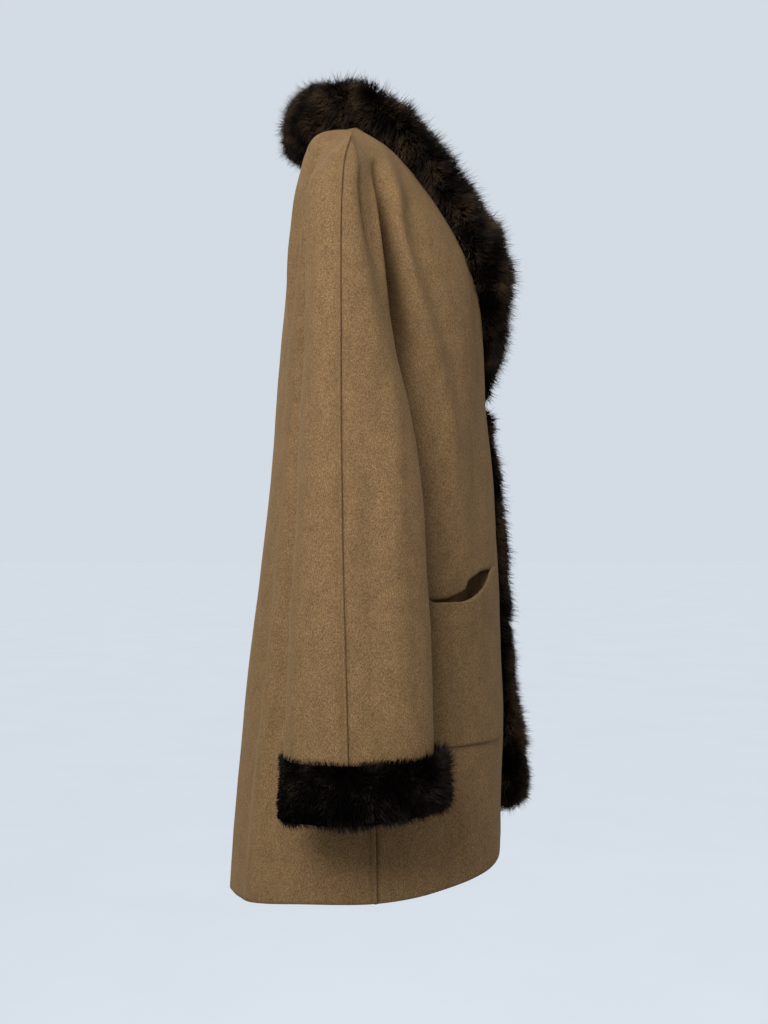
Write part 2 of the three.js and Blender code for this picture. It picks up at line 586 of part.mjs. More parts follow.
const hook = [
  [-22, -128.75, HOOK_Z - 1.6], [-18, -128.9, HOOK_Z - 0.6], [-12, -129.5, HOOK_Z], [-4, -130.2, HOOK_Z],
  [1.5, -130.1, HOOK_Z], [3.8, -131, HOOK_Z], [4.3, -132.4, HOOK_Z], [3.4, -133.7, HOOK_Z], [0.5, -134.2, HOOK_Z],
];
const eye = [
  [22, -128.7, HOOK_Z + 4.4], [14, -129.2, HOOK_Z + 3.6], [4, -132, HOOK_Z + 3], [1.4, -132.2, HOOK_Z + 2.2],
  [1, -132.2, HOOK_Z], [1.4, -132.2, HOOK_Z - 2.2], [4, -132, HOOK_Z - 3], [14, -129.2, HOOK_Z - 3.6], [22, -128.9, HOOK_Z - 4.4],
];
group.add(meshOf("hook", solidOf(tube(hook, WIRE, 22)), WIRE_METAL));
group.add(meshOf("eye", solidOf(tube(eye, WIRE * 0.85, 24)), WIRE_METAL));

export default group;
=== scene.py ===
"""A kimono-cut wool coat with fur trim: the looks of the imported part, built in its own frame.

Sizes are in millimetres in the tables and in metres once a mesh is made. +Z is up, the front faces -Y and
the wearer's right is at -X.
"""
from __future__ import annotations

import json
import logging
import math
from dataclasses import dataclass, replace
from enum import Enum

import bpy
import numpy as np
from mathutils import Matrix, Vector
from mathutils.bvhtree import BVHTree
from mathutils.kdtree import KDTree

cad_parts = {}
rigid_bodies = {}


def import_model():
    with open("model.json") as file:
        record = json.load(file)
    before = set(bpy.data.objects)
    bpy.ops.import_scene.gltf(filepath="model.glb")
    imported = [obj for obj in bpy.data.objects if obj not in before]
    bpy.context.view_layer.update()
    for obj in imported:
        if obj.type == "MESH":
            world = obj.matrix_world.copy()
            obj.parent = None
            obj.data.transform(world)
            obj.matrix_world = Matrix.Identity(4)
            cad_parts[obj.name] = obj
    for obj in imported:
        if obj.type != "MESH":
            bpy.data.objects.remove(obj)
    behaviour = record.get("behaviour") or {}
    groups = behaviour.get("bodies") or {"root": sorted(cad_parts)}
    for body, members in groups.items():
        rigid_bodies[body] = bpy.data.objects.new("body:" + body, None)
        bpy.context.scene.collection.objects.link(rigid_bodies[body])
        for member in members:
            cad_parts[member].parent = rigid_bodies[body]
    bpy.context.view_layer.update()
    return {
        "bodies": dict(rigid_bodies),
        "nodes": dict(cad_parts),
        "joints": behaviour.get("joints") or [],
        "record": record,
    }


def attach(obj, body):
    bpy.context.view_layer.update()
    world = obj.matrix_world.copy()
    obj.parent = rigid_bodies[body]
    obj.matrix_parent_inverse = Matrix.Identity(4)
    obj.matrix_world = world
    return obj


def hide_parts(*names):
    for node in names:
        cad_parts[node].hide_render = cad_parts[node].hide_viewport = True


LOG = logging.getLogger("coat")
MM = 0.001
Array = np.ndarray
Node = bpy.types.ShaderNode
Nodes = bpy.types.Nodes
Object = bpy.types.Object
Socket = bpy.types.NodeSocket
Material = bpy.types.Material

WALL = 2.2  # the cloth's thickness
LIE_GAP = 0.35  # between a panel and what lies on it
ROUND = 0.42  # how far a sleeve's section fills its corners
UNDERARM = 6  # the row of the tables below that is the underarm
HEM = 12  # the body's last row
CUFF = 10  # the sleeve's last row
HOOK_Z = -288  # the closure's height, in mm


def level(z: float, *points: tuple[float, float]) -> tuple[tuple[float, float, float], ...]:
    """A table's row whose points all lie at one height."""
    return tuple((x, y, z) for x, y in points)


# The fronts, one row for each level from the shoulder seam to the hem. The columns are the front edge, chest,
# bust, ridge and side, which is the valley by the sleeve and the side seam below the underarm.
FRONT = (
    ((-78, 4, 0), (-100, 5, -6), (-122, 5, -13), (-143, 6, -19), (-163, 7, -26)),
    ((-74, -30, -24), (-98, -31, -28), (-124, -26, -33), (-152, -20, -40), (-178, -9, -52)),
    ((-66, -62, -62), (-94, -66, -65), (-128, -56, -70), (-170, -37, -80), (-188, -17, -88)),
    ((-55, -92, -115), (-92, -99, -117), (-135, -83, -120), (-180, -46, -125), (-190, -23, -128)),
    ((-42, -112, -170), (-86, -121, -171), (-138, -99, -172), (-180, -57, -175), (-184, -27, -177)),
    ((-25, -122, -230), (-80, -128, -231), (-140, -104, -233), (-175, -61, -236), (-178, -20, -238)),
    ((-14, -127, -290), (-78, -129, -292), (-140, -105, -296), (-170, -62, -298), (-178, 0, -300)),
    level(-380, (-12, -134), (-75, -138), (-138, -114), (-177, -66), (-187, -4)),
    level(-460, (-12, -140), (-75, -143.5), (-143, -122), (-187, -70), (-197, -8)),
    level(-540, (-12, -143), (-76, -146.5), (-148, -127), (-197, -73), (-208, -11)),
    level(-620, (-12, -146), (-78, -149.5), (-154, -130), (-207, -74), (-219, -13)),
    ((-12, -146, -692), (-80, -148, -696), (-160, -131, -698), (-217, -74, -700), (-230, -16, -702)),
    ((-19, -143.5, -731), (-80, -148, -744), (-165, -130, -756), (-225, -74, -767.5), (-238, -18, -775)),
)

# The sleeve above the underarm: its front fold, the overarm seam and its back fold.
SLEEVE_TOP = (
    ((-184, 7.5, -33), (-200, 8, -42), (-184, 7.5, -33)),
    ((-204, -1, -64), (-217, 13, -64), (-200, 34, -60)),
    ((-215, -2, -94), (-232, 15, -90), (-213, 49, -90)),
    ((-222, -6, -130), (-243, 16, -127), (-221, 50, -127)),
    ((-225, -16, -177), (-252, 16, -176), (-227, 51, -176)),
    ((-225, -31, -238), (-262, 15.5, -236), (-231, 52, -238)),
)

# The sleeve from the underarm down: its reach inwards, outwards, forwards and back, its level, and where its
# inner seam and overarm seam lie, forwards to back.
SLEEVE = (
    (-178, -273, -47, 55, -300, 0, 15),
    (-197, -289, -59, 59, -373, 2, 14),
    (-211, -302, -65, 62, -450, 3, 12.5),
    (-224, -314, -68, 66, -532, 3, 10),
    (-238, -329, -70, 69, -630, 3, 7),
)

SLEEVE_FILL = (0, 0, 0, 0, 3, 7)  # how far the sleeve's rows fill out towards the underarm, in mm

# The back, from the valley behind the sleeve to the centre, by the shoulder, blade and neck. Its first row is
# the shoulder seam and neckline.
BACK = (
    ((-163, 7, -26), (-143, 6, -19), (-122, 5, -13), (-100, 5, -6), (-78, 4, 0), (-64, 38, -13),
     (-36, 56, -20), (0, 62, -22)),
    ((-176, 38, -50), (-156, 44, -34), (-130, 48, -28), (-106, 49, -23), (-82, 49, -21), (-62, 58, -31),
     (-34, 66, -38), (0, 69, -42)),
    ((-188, 50, -86), (-165, 58, -78), (-138, 63, -72), (-112, 64.4, -68), (-86, 67, -67), (-62, 69.6, -70),
     (-32, 72.6, -75), (0, 74.4, -78)),
    ((-187, 47, -126), (-168, 60, -124), (-142, 68, -122), (-116, 70.5, -121), (-90, 74, -120),
     (-62, 75.5, -120), (-32, 76.5, -121), (0, 77, -122)),
    level(-176, (-182, 40), (-168, 60), (-144, 71), (-118, 74.5), (-92, 78), (-64, 80.5), (-32, 80.5),
        (0, 80.5)),
    level(-238, (-178, 24), (-166, 54), (-144, 71), (-118, 77.5), (-92, 83), (-64, 85.5), (-32, 85.5),
        (0, 84.5)),
    level(-300, (-178, 0), (-168, 44), (-146, 69), (-120, 79.5), (-93, 87), (-64, 90.5), (-32, 90.5),
        (0, 88.5)),
    level(-380, (-187, -4), (-179, 45), (-157, 72), (-129, 84.5), (-99, 93), (-68, 96.5), (-34, 96.5),
        (0, 94.5)),
    level(-462, (-197, -8), (-190, 47), (-167, 78), (-137, 92.5), (-104, 102), (-71, 105.5), (-35, 105.5),
        (0, 102.5)),
    level(-544, (-208, -11), (-201, 50), (-177, 83), (-145, 100.5), (-109, 111), (-74, 114.5), (-37, 114.5),
        (0, 110.5)),
    ((-219, -13, -626), (-212, 53, -626), (-187, 89, -627), (-153, 108.5, -628), (-114, 119, -628),
     (-76, 122.5, -628), (-38, 122.5, -628), (0, 118.5, -628)),
    ((-230, -16, -706), (-223, 55, -711), (-197, 94, -714), (-161, 114.5, -716), (-119, 126, -716),
     (-79, 129.5, -716), (-39, 129.5, -716), (0, 124.5, -716)),
    ((-238, -18, -775), (-232, 56, -777), (-205, 97, -782.5), (-168, 118.5, -786), (-124, 131, -789),
     (-82, 134.5, -791.5), (-41, 134.5, -793.5), (0, 129.5, -794)),
)


@dataclass(frozen=True)
class Crease:
    """A soft trough or ridge in the cloth, along a path of (column, row) down the garment's loop.

    wide is the half width in columns and depth is in mm, outwards positive. One that ends past HEM runs on to
    the garment's edge, and the others die away at both ends.
    """

    path: tuple[tuple[float, float], ...]
    wide: float
    depth: float


CREASE_TABLE = (
    # The front, from the shoulder down: the valley by the sleeve, the ridge that falls from the shoulder's
    # end to the pocket, the hollow in front of it and the roll beside the collar.
    (((3.7, 1.2), (3.86, 2.1), (3.98, 3.2), (4.0, 3.8), (3.75, 4.5), (3.5, 5.1), (3.4, 6.0)), 0.3, -24),
    (((3.0, 0.9), (3.08, 1.7), (3.25, 2.8), (3.12, 4.0), (2.62, 5.6), (2.46, 6.3), (2.52, 8.3)), 0.27, 7.0),
    (((2.4, 1.1), (2.46, 1.8), (2.86, 3.2), (2.76, 4.1), (2.4, 5.1), (2.1, 6.2)), 0.28, -5.6),
    (((1.2, 3.4), (1.38, 4.2), (1.38, 4.9), (1.34, 5.6), (1.3, 6.4)), 0.2, -4.0),
    (((1.64, 5.9), (1.8, 6.9), (1.94, 8.2)), 0.3, -4.0),
    (((0.8, 5.0), (1.0, 6.6), (0.95, 7.6)), 0.25, 1.5),
    # Below the pocket's mouth, and on to the hem.
    (((2.6, 6.6), (2.2, 12.4)), 0.5, 2.2),
    (((1.3, 8.6), (1.15, 12.4)), 0.4, -2.0),
    (((3.0, 9.9), (2.85, 12.4)), 0.34, -1.2),
    (((3.5, 6.8), (3.62, 8.4), (3.5, 9.6)), 0.24, -1.6),
    # The back, with the valley behind the sleeve and the shoulder's round top.
    (((12.0, 0.7), (12.06, 1.7), (12.1, 3.2), (12.2, 4.4), (12.3, 5.8)), 0.28, -20),
    (((13.4, 0.0), (13.3, 0.5), (13.2, 1.3)), 1.3, 3.6),
    (((13.3, 6.1), (13.5, 7.2), (13.56, 8.6), (13.45, 10.0), (13.3, 11.0)), 0.5, -11),
    (((14.5, 6.6), (14.45, 8.4), (14.3, 10.0), (14.3, 12.4)), 0.45, 3.4),
    (((14.7, 6.6), (15.0, 11.8)), 0.45, -6.0),
    (((16.2, 7.6), (16.4, 12.4)), 0.4, 2.2),
    (((17.9, 7.0), (17.8, 12.4)), 0.5, -6.0),
    (((12.9, 2.2), (13.5, 3.6), (14.6, 5.4)), 0.42, -4.6),
    (((12.4, 3.8), (13.1, 5.2), (14.0, 7.4)), 0.3, -3.4),
    (((13.6, 1.6), (14.2, 3.2), (14.3, 5.2)), 0.35, 2.8),
    (((16.4, 1.2), (16.9, 3.0), (17.2, 5.4)), 0.5, -3.0),
    (((12.7, 8.6), (12.9, 10.4)), 0.22, -1.4),
    # The sleeve: two short folds under the shoulder, then the long ones, and shorter ones on the far side.
    (((6.1, 1.2), (6.1, 2.0), (5.9, 3.3), (5.7, 4.2)), 0.36, -4.6),
    (((4.6, 1.7), (4.68, 2.4), (4.9, 3.2), (5.25, 3.9), (5.5, 4.6)), 0.3, 4.6),
    (((6.6, 5.4), (6.9, 6.2), (7.08, 7.0), (7.18, 8.4), (7.2, 9.7)), 0.26, 3.0),
    (((7.4, 6.5), (7.46, 7.0), (7.54, 7.8), (7.58, 8.5), (7.5, 9.7)), 0.22, -3.4),
    (((8.5, 6.7), (8.44, 7.5)), 0.16, -1.6),
    (((8.5, 8.8), (8.4, 9.8)), 0.18, -1.0),
    (((10.6, 5.8), (10.1, 7.2), (9.5, 8.6)), 0.45, -2.2),
    (((9.2, 2.6), (9.5, 4.2), (9.7, 5.8)), 0.35, -1.8),
    (((10.8, 1.8), (11.0, 3.4), (11.1, 4.8)), 0.4, 2.2),
    (((9.6, 8.4), (9.9, 9.8)), 0.3, -1.5),
    (((11.0, 7.4), (11.0, 12.0)), 0.7, -6.5),
    (((5.4, 7.2), (6.3, 8.8)), 0.4, -2.0),
    (((4.7, 6.4), (5.3, 8.0)), 0.3, -1.8),
    (((11.3, 7.4), (11.0, 9.2)), 0.35, -1.6),
)
CREASES = tuple(Crease(*row) for row in CREASE_TABLE)
RUN_IN = 1.6  # how soon a crease that runs to the garment's edge has its full depth
FADE = 0.8  # how steeply the others die away at their ends, 1 being a sine
SEWN_FROM = 4.6  # the row where creases start to end at the side seams
SEWN_OVER = 1.4  # the rows over which they do
CALM = 0.4  # the columns beside a seam over which creases die away
SLACK = ((0.45, 85, 3), (0.22, 36, 5))  # the cloth's unevenness: height and wave in mm, and seed

# Behind the pocket's mouth the front sinks: the columns and rows of the fold's edge, and the columns and
# depths in mm below it.
MOUTH_FOLD = ((1.6, 2.0, 2.34, 2.42, 2.7, 3.0, 3.25), (8.02, 8.04, 8.14, 8.26, 8.35, 8.37, 8.33))
MOUTH_DEPTH = ((1.62, 1.9, 2.3, 2.45, 3.0, 3.25), (0, 20, 20, 13, 7, 0))
MOUTH_END = 9.4  # the row where the front is level again
MOUTH_SHARP, MOUTH_FADE = 0.05, 0.8  # the rows over which it falls and rises
EDGE_IN = 0.14  # how far both faces of the cloth stop short of its rounded edge, in mm
EDGE_DOWN = 0.06  # how far they turn towards each other there
WAVES = 7  # the waves that are summed for one noise
# The columns after a seam where a panel's points lie close together.
SEAM_STEPS = (0, 0.014, 0.028, 0.042, 0.056, 0.07, 0.086, 0.104, 0.13, 0.17, 0.22, 0.28)


class Place(Enum):
    """Which part of the garment's loop a patch of cloth lies on."""

    BODY = "body"
    SLEEVE = "sleeve"


class Side(Enum):
    """The wearer's right, which the tables give, or left, which is mirrored."""

    RIGHT = -1
    LEFT = 1


def linear(hex_colour: str) -> tuple[float, float, float, float]:
    """An sRGB hex colour as the linear colour that a shader takes.

    Args:
        hex_colour: six hex digits after a hash sign.

    Returns:
        Red, green, blue and alpha, linear.
    """
    parts = [int(hex_colour[k : k + 2], 16) / 255 for k in (1, 3, 5)]
    return (*(p / 12.92 if p <= 0.04045 else ((p + 0.055) / 1.055) ** 2.4 for p in parts), 1.0)


def ease(x: Array) -> Array:
    """A smooth step from 0 at 0 to 1 at 1."""
    x = np.clip(x, 0, 1)
    return x * x * (3 - 2 * x)


def unit(v: Array) -> Array:
    """Vectors along the last axis at length 1."""
    return v / np.maximum(np.linalg.norm(v, axis=-1, keepdims=True), 1e-9)


def spline(points: Array, t: Array) -> Array:
    """A centripetal curve through points, where parameter 1 is the second point.

    Args:
        points: an array (..., count, 3).
        t: the parameters to read, one dimension.

    Returns:
        An array (..., len(t), 3).
    """
    count = points.shape[-2]
    t = np.clip(np.asarray(t, float), 0, count - 1)
    k = np.minimum(t.astype(int), count - 2)
    w = (t - k)[:, None]
    first = 2 * points[..., :1, :] - points[..., 1:2, :]
    last = 2 * points[..., -1:, :] - points[..., -2:-1, :]
    padded = np.concatenate([first, points, last], axis=-2)
    p0, p1, p2, p3 = (padded[..., k + j, :] for j in range(4))
    gap = [np.sqrt(np.linalg.norm(b - a, axis=-1, keepdims=True)) for a, b in ((p0, p1), (p1, p2), (p2, p3))]
    d1 = np.where(gap[1] < 1e-4, 1.0, gap[1])
    d0 = np.where(gap[0] < 1e-4, d1, gap[0])
    d2 = np.where(gap[2] < 1e-4, d1, gap[2])
    leave = ((p1 - p0) / d0 - (p2 - p0) / (d0 + d1) + (p2 - p1) / d1) * d1
    arrive = ((p2 - p1) / d1 - (p3 - p1) / (d1 + d2) + (p3 - p2) / d2) * d1
    square = 3 * (p2 - p1) - 2 * leave - arrive
    cube = 2 * (p1 - p2) + leave + arrive
    return p1 + w * (leave + w * (square + w * cube))


def fine_noise(points: Array, size: float, seed: int) -> Array:
    """Smooth, repeatable noise from -1 to 1 at points.

    Args:
        points: an array (..., 3) in mm.
        size: the length of one wave, in mm.
        seed: which of the noises.

    Returns:
        An array (...).
    """
    rng = np.random.default_rng(seed)
    total = np.zeros(points.shape[:-1])
    for _ in range(WAVES):
        way = unit(rng.normal(size=3)) * (2 * math.pi / size) * rng.uniform(0.6, 1.5)
        total += np.sin(points @ way + rng.uniform(0, 2 * math.pi))
    return total / (0.6 * WAVES)


@dataclass(frozen=True)
class CoatForm:
    """The garment's right half as smooth functions of a column and a row, from the tables above.

    Columns of the whole loop: 0 the front edge, 4 the side or inner seam, 8 the overarm seam, 12 the back's
    side or inner seam, 16 the neck point and 19 the centre back.
    """

    edge_height: float = 2.7  # of a felled seam, in mm, then how far from its first column and its half width
    edge_at: float = 1.9
    edge_wide: float = 1.6
    stitch_depth: float = 0.8
    stitch_at: float = 4.8
    stitch_wide: float = 0.9

    def corner(self, fold: Array, over: Array) -> Array:
        """A sleeve section's corner between its front or back fold and another of its points.

        Args:
            fold: the fold's point.
            over: the other point.

        Returns:
            The corner's point.
        """
        corner = np.array([over[0], fold[1], (fold[2] + over[2]) / 2])
        middle = (fold + over) / 2
        return middle + (corner - middle) * ROUND

    def sleeve_rows(self) -> Array:
        """The seven sleeve columns between the seams, for every row of the tables.

        Returns:
            An array (rows, 7, 3), in mm.
        """
        rows = []
        for k, row in enumerate(SLEEVE_TOP):
            front, over, back = np.array(row, float)
            fill = SLEEVE_FILL[k]
            before = (np.array(FRONT[k][4]) + front) / 2 + [fill * 0.6, -fill, 0]
            behind = (np.array(BACK[k][0]) + back) / 2 + [fill * 0.4, fill * 0.8, 0]
            corners = self.corner(front, over), self.corner(back, over)
            rows.append([before, front, corners[0], over, corners[1], back, behind])
        for inner, outer, ahead, astern, z, seam_y, over_y in SLEEVE:
            middle = (inner + outer) / 2
            places = (inner, seam_y), (middle, ahead), (outer, over_y), (middle, astern)
            seam, front, over, back = (np.array([x, y, z], float) for x, y in places)
            corners = [self.corner(fold, side) for fold in (front, back) for side in (seam, over)]
            rows.append([corners[0], front, corners[1], over, corners[3], back, corners[2]])
        return np.array(rows, float)

    def under_seam(self, v: Array) -> Array:
        """The valley and inner seam of the sleeve at rows v.

        Args:
            v: rows.

        Returns:
            An array (rows, 3), in mm.
        """
        top = [FRONT[k][4] for k in range(UNDERARM)]
        low = [(inner, seam_y, z) for inner, _, _, _, z, seam_y, _ in SLEEVE]
        return spline(np.array([*top, *low], float), v)

    def columns(self, table: Array, v: Array) -> Array:
        """A table's columns, each read as a curve at rows v: an array (rows, columns, 3)."""
        return np.swapaxes(spline(np.swapaxes(table, 0, 1), v), 0, 1)

    def upper(self, u: Array, v: Array) -> Array:
        """Points (rows, columns, 3) from the shoulder to the underarm.

        Args:
            u: columns.
            v: rows.

        Returns:
            An array (rows, columns, 3), in mm.
        """
        front = self.columns(np.array(FRONT, float), v)
        sleeve = self.columns(self.sleeve_rows(), v)
        back = self.columns(np.array(BACK, float), v)
        mirrored = back[:, 6:7] * [-1, 1, 1]
        made = spline(np.concatenate([front, sleeve, back, mirrored], axis=1), u)
        half = np.concatenate([front, sleeve[:, :4]], axis=1)
        neck = np.concatenate([back[:, 4:], mirrored], axis=1)
        for k in np.flatnonzero(np.asarray(v) <= 1e-9):
            at_seam = spline(half[k], np.where(u <= 8, u, 16 - np.minimum(u, 16)))
            at_neck = spline(neck[k], np.maximum(u - 16, 0))
            made[k] = np.where((u <= 16)[:, None], at_seam, at_neck)
        return made

    def body(self, u: Array, v: Array) -> Array:
        """Points of the body below the underarm, which meet the upper ones there.

        Args:
            u: columns.
            v: rows.

        Returns:
            An array (rows, columns, 3), in mm.
        """
        front = self.columns(np.array(FRONT, float), v)
        back = self.columns(np.array(BACK, float), v)
        loop = np.concatenate([front, back[:, 1:], back[:, 6:7] * [-1, 1, 1]], axis=1)
        return spline(loop, np.where(u < 8, u, u - 8))

    def sleeve(self, u: Array, v: Array) -> Array:
        """Points of the sleeve below the underarm.

        Args:
            u: columns.
            v: rows.

        Returns:
            An array (rows, columns, 3), in mm.
        """
        ring = self.columns(self.sleeve_rows(), v)
        seam = self.under_seam(v)[:, None]
        loop = np.concatenate([ring[:, 6:7], seam, ring, seam, ring[:, :1]], axis=1)
        return spline(loop, u - 3)

    def bare(self, u: Array, v: Array, place: Place) -> Array:
        """Points (rows, columns, 3) of the cloth's outer face with no folds.

        Args:
            u: columns.
            v: rows.
            place: the part of the loop that they lie on.

        Returns:
            An array (rows, columns, 3), in mm.
        """
        u, v = np.asarray(u, float), np.asarray(v, float)
        made = np.zeros((len(v), len(u), 3))
        high = v <= UNDERARM + 1e-9
        if high.any():
            made[high] = self.upper(u, v[high])
        if (~high).any():
            part = self.body if place is Place.BODY else self.sleeve
            underarm = np.array([float(UNDERARM)])
            step = self.upper(u, underarm) - part(u, underarm)
            fade = 1 - ease(v[~high] - UNDERARM)
            made[~high] = part(u, v[~high]) + step * fade[:, None, None]
        return made

    def normals(self, u: Array, v: Array, place: Place) -> Array:
        """Outward normals, shared across the seams.

        Args:
            u: columns.
            v: rows.
            place: the part of the loop that they lie on.

        Returns:
            An array (rows, columns, 3) of unit vectors.
        """
        u, v = np.asarray(u, float), np.asarray(v, float)
        near = 0.01
        along = self.bare(u + near, v, place) - self.bare(u - near, v, place)
        last = HEM if place is Place.BODY else CUFF
        split = (v > UNDERARM - near) & (v < UNDERARM + near)
        low = np.where(split, v - near, np.maximum(v - near, 0))
        high = np.where(split, v, np.minimum(v + near, last))
        down = self.bare(u, high, place) - self.bare(u, low, place)
        made = unit(np.cross(along, down))
        top = np.flatnonzero(v <= 1e-9)
        if len(top):
            # Along the shoulder seam, the mean of both sides of it.
            over = 16 - u
            facing = (over >= 0) & (over <= 16)
            other = np.where(facing, over, u)
            start, below = np.array([0.0]), np.array([near])
            side = self.bare(other, below, place) - self.bare(other, start, place)
            run, own_run = (
                self.bare(at + near, below, place) - self.bare(at - near, below, place) for at in (other, u)
            )
            own = unit(np.cross(own_run[0], down[top[0]]))
            made[top] = unit(own + np.where(facing[:, None], unit(np.cross(run[0], side[0])), 0))
        return made

    def relief(self, u: Array, v: Array, points: Array) -> Array:
        """How far the cloth's outer face is moved out by its creases and its slack, in mm.

        Args:
            u: columns.
            v: rows.
            points: the bare points there, in mm.

        Returns:
            An array (rows, columns).
        """
        columns, rows = np.meshgrid(u, v)
        total = np.zeros_like(columns)
        for crease in CREASES:
            path = np.array(crease.path)
            t = (v - path[0, 1]) / (path[-1, 1] - path[0, 1])
            middle = np.interp(v, path[:, 1], path[:, 0])
            to_edge = path[-1, 1] > HEM
            run = np.clip(t * RUN_IN, 0, 1) if to_edge else np.sin(np.pi * np.clip(t, 0, 1)) ** FADE
            run = np.where((t >= 0) & (t <= 1), run, 0) * crease.depth
            total += run[:, None] * np.exp(-(((columns - middle[:, None]) / crease.wide) ** 2))
        # Creases end at the sewn seams, which the valleys beside the sleeve become at the underarm.
        sewn = ease((rows - SEWN_FROM) / SEWN_OVER)
        total *= ease(np.abs(columns - 8) / CALM)
        for seam in (4, 12):
            total *= 1 - sewn * (1 - ease(np.abs(columns - seam) / CALM))
        total += sum(height * fine_noise(points, wave, seed) for height, wave, seed in SLACK)
        return total

    def hollow(self, u: Array, v: Array) -> Array:
        """How far the front sinks behind the pocket's gaping mouth, with a sharp fold at its upper edge.

        Args:
            u: columns.
            v: rows.

        Returns:
            An array (rows, columns), in mm and negative where it sinks.
        """
        columns, rows = np.meshgrid(u, v)
        fold, depth = np.interp(columns, *MOUTH_FOLD), np.interp(columns, *MOUTH_DEPTH)
        return -depth * ease((rows - fold) / MOUTH_SHARP) * ease((MOUTH_END - rows) / MOUTH_FADE)

    def welt(self, points: Array, sewn: Array) -> Array:
        """A felled seam's raised edge along a patch's first column, with the dip of its stitches, in mm.

        Args:
            points: the patch's points (rows, columns, 3).
            sewn: 1 for each row that is sewn, 0 for the others.

        Returns:
            An array (rows, columns).
        """
        steps = np.linalg.norm(np.diff(points, axis=1), axis=2)
        away = np.concatenate([np.zeros((len(points), 1)), np.cumsum(steps, axis=1)], axis=1)
        edge = np.exp(-(((away - self.edge_at) / self.edge_wide) ** 4))
        stitches = np.exp(-(((away - self.stitch_at) / self.stitch_wide) ** 2))
        return (self.edge_height * edge - self.stitch_depth * stitches) * sewn[:, None]


@dataclass(frozen=True)
class WoolCloth:
    """Camel wool, melange yarn woven double and brushed: matt, with a short nap that blurs the weave."""

    name: str = "camel_wool_brushed_melange"
    light: str = "#775d40"
    middle: str = "#61492f"
    dark: str = "#4c3722"
    fleck: str = "#997c5b"
    sheen: str = "#c9a77a"
    fibre_mm: float = 0.43  # a real fibre is far finer; this is as fine as a view of the whole coat can show
    nap_mm: float = 13.0
    bump: float = 0.4

    def make(self) -> Material:
        """The finished material.

        Returns:
            The material.
        """
        values = {"Roughness": 0.95, "Specular IOR Level": 0.05, "Sheen Weight": 0.12, "Sheen Roughness": 0.5}
        values["Sheen Tint"] = linear(self.sheen)
        material, nodes, shader, place = new_material(self.name, values)
        down, across = (
            add(nodes, "ShaderNodeMapping", {"Scale": scale}, {"Vector": place}).outputs["Vector"]
            for scale in ((1, 1, 0.55), (0.7, 0.7, 1.5))
        )
        # Yarns of several browns, drawn out a little along the brushing.
        fibres = noise(nodes, down, 2.0 * self.fibre_mm, 3.0, 0.62)
        mixed = ramp(nodes, fibres, ((0.34, self.dark), (0.5, self.middle), (0.66, self.light)))
        # Pale flecks where the lighter yarn comes up, lying across the brushing.
        specks = noise(nodes, across, 3.6 * self.fibre_mm, 2.0, 0.6)
        where = ramp(nodes, specks, ((0.58, "#000000"), (0.76, "#8a8a8a")))
        flecked = blend(nodes, where, mixed, linear(self.fleck))
        # Broad shading of the nap, where a hand has brushed it one way or the other.
        tone = ramp(nodes, noise(nodes, down, self.nap_mm, 4.0, 0.6), ((0.34, "#ececec"), (0.66, "#ffffff")))
        link(blend(nodes, 1.0, flecked, tone, "MULTIPLY"), shader.inputs["Base Color"])
        height = add(nodes, "ShaderNodeBump", {"Strength": self.bump, "Distance": 0.0005}, {"Height": fibres})
        link(height.outputs["Normal"], shader.inputs["Normal"])
        return material


@dataclass(frozen=True)
class FurHair:
    """Dressed long-haired fur: near-black guard hairs with brown patches and a soft gloss."""

    name: str = "dark_fur_guard_hair"
    black: str = "#120e0c"
    brown: str = "#332921"
    warm: str = "#54412f"
    gloss: str = "#9a7350"
    patch_mm: float = 30.0
    hair_mm: float = 1.6

    def make(self) -> Material:
        """The finished material.

        Returns:
            The material.
        """
        values = {"Roughness": 0.55, "Specular IOR Level": 0.12, "Specular Tint": linear(self.gloss)}
        material, nodes, shader, place = new_material(self.name, values)
        # The pelts' own brown patches on black.
        patches = noise(nodes, place, self.patch_mm)
        tone = ramp(nodes, patches, ((0.38, self.black), (0.52, self.brown), (0.68, self.warm)))
        # Each hair is a little lighter or darker than its neighbours: partly the hairs' own tone, partly
        # painted gloss highlights.
        value = ramp(nodes, noise(nodes, place, self.hair_mm, 1.0), ((0.3, "#6a6a6a"), (0.7, "#ffffff")))
        link(blend(nodes, 1.0, tone, value, "MULTIPLY"), shader.inputs["Base Color"])
        return material


@dataclass(frozen=True)
class MottledFinish:
    """A finish of two colours that one noise mixes."""

    name: str
    stops: tuple[tuple[float, str], tuple[float, str]]
    size_mm: float
    detail: float = 2.0
    roughness: float = 1.0
    specular: float = 0.0
    metallic: float = 0.0

    def make(self) -> Material:
        """The finished material.

        Returns:
            The material.
        """
        values = {"Roughness": self.roughness, "Specular IOR Level": self.specular, "Metallic": self.metallic}
        material, nodes, shader, place = new_material(self.name, values)
        tone = ramp(nodes, noise(nodes, place, self.size_mm, self.detail), self.stops)
        link(tone, shader.inputs["Base Color"])
        return material


# The pelt and its dense underfur, seen only in the depth between the guard hairs: near-black, their own dark
# colour with painted shade for that depth.
PELT_WITH_PAINTED_DEPTH_SHADE = MottledFinish("dark_fur_pelt_with_painted_shade", ((0.3, "#020101"), (0.8, "#070504")), 2.5, 3.0)
# Brass wire with a dark lacquer, worn a little in random patches: a satin gleam.
DARK_WIRE = MottledFinish(
    "dark_lacquered_wire", ((0.45, "#2b2521"), (0.8, "#6b5638")), 3.0, 2.0, 0.38, 0.5, 0.85
)
# The studio's pale seamless paper, faintly cloudy.
PLAIN_PAPER = MottledFinish("pale_studio_paper", ((0.3, "#f7f7f7"), (0.7, "#f9f9f9")), 2000 / 3)


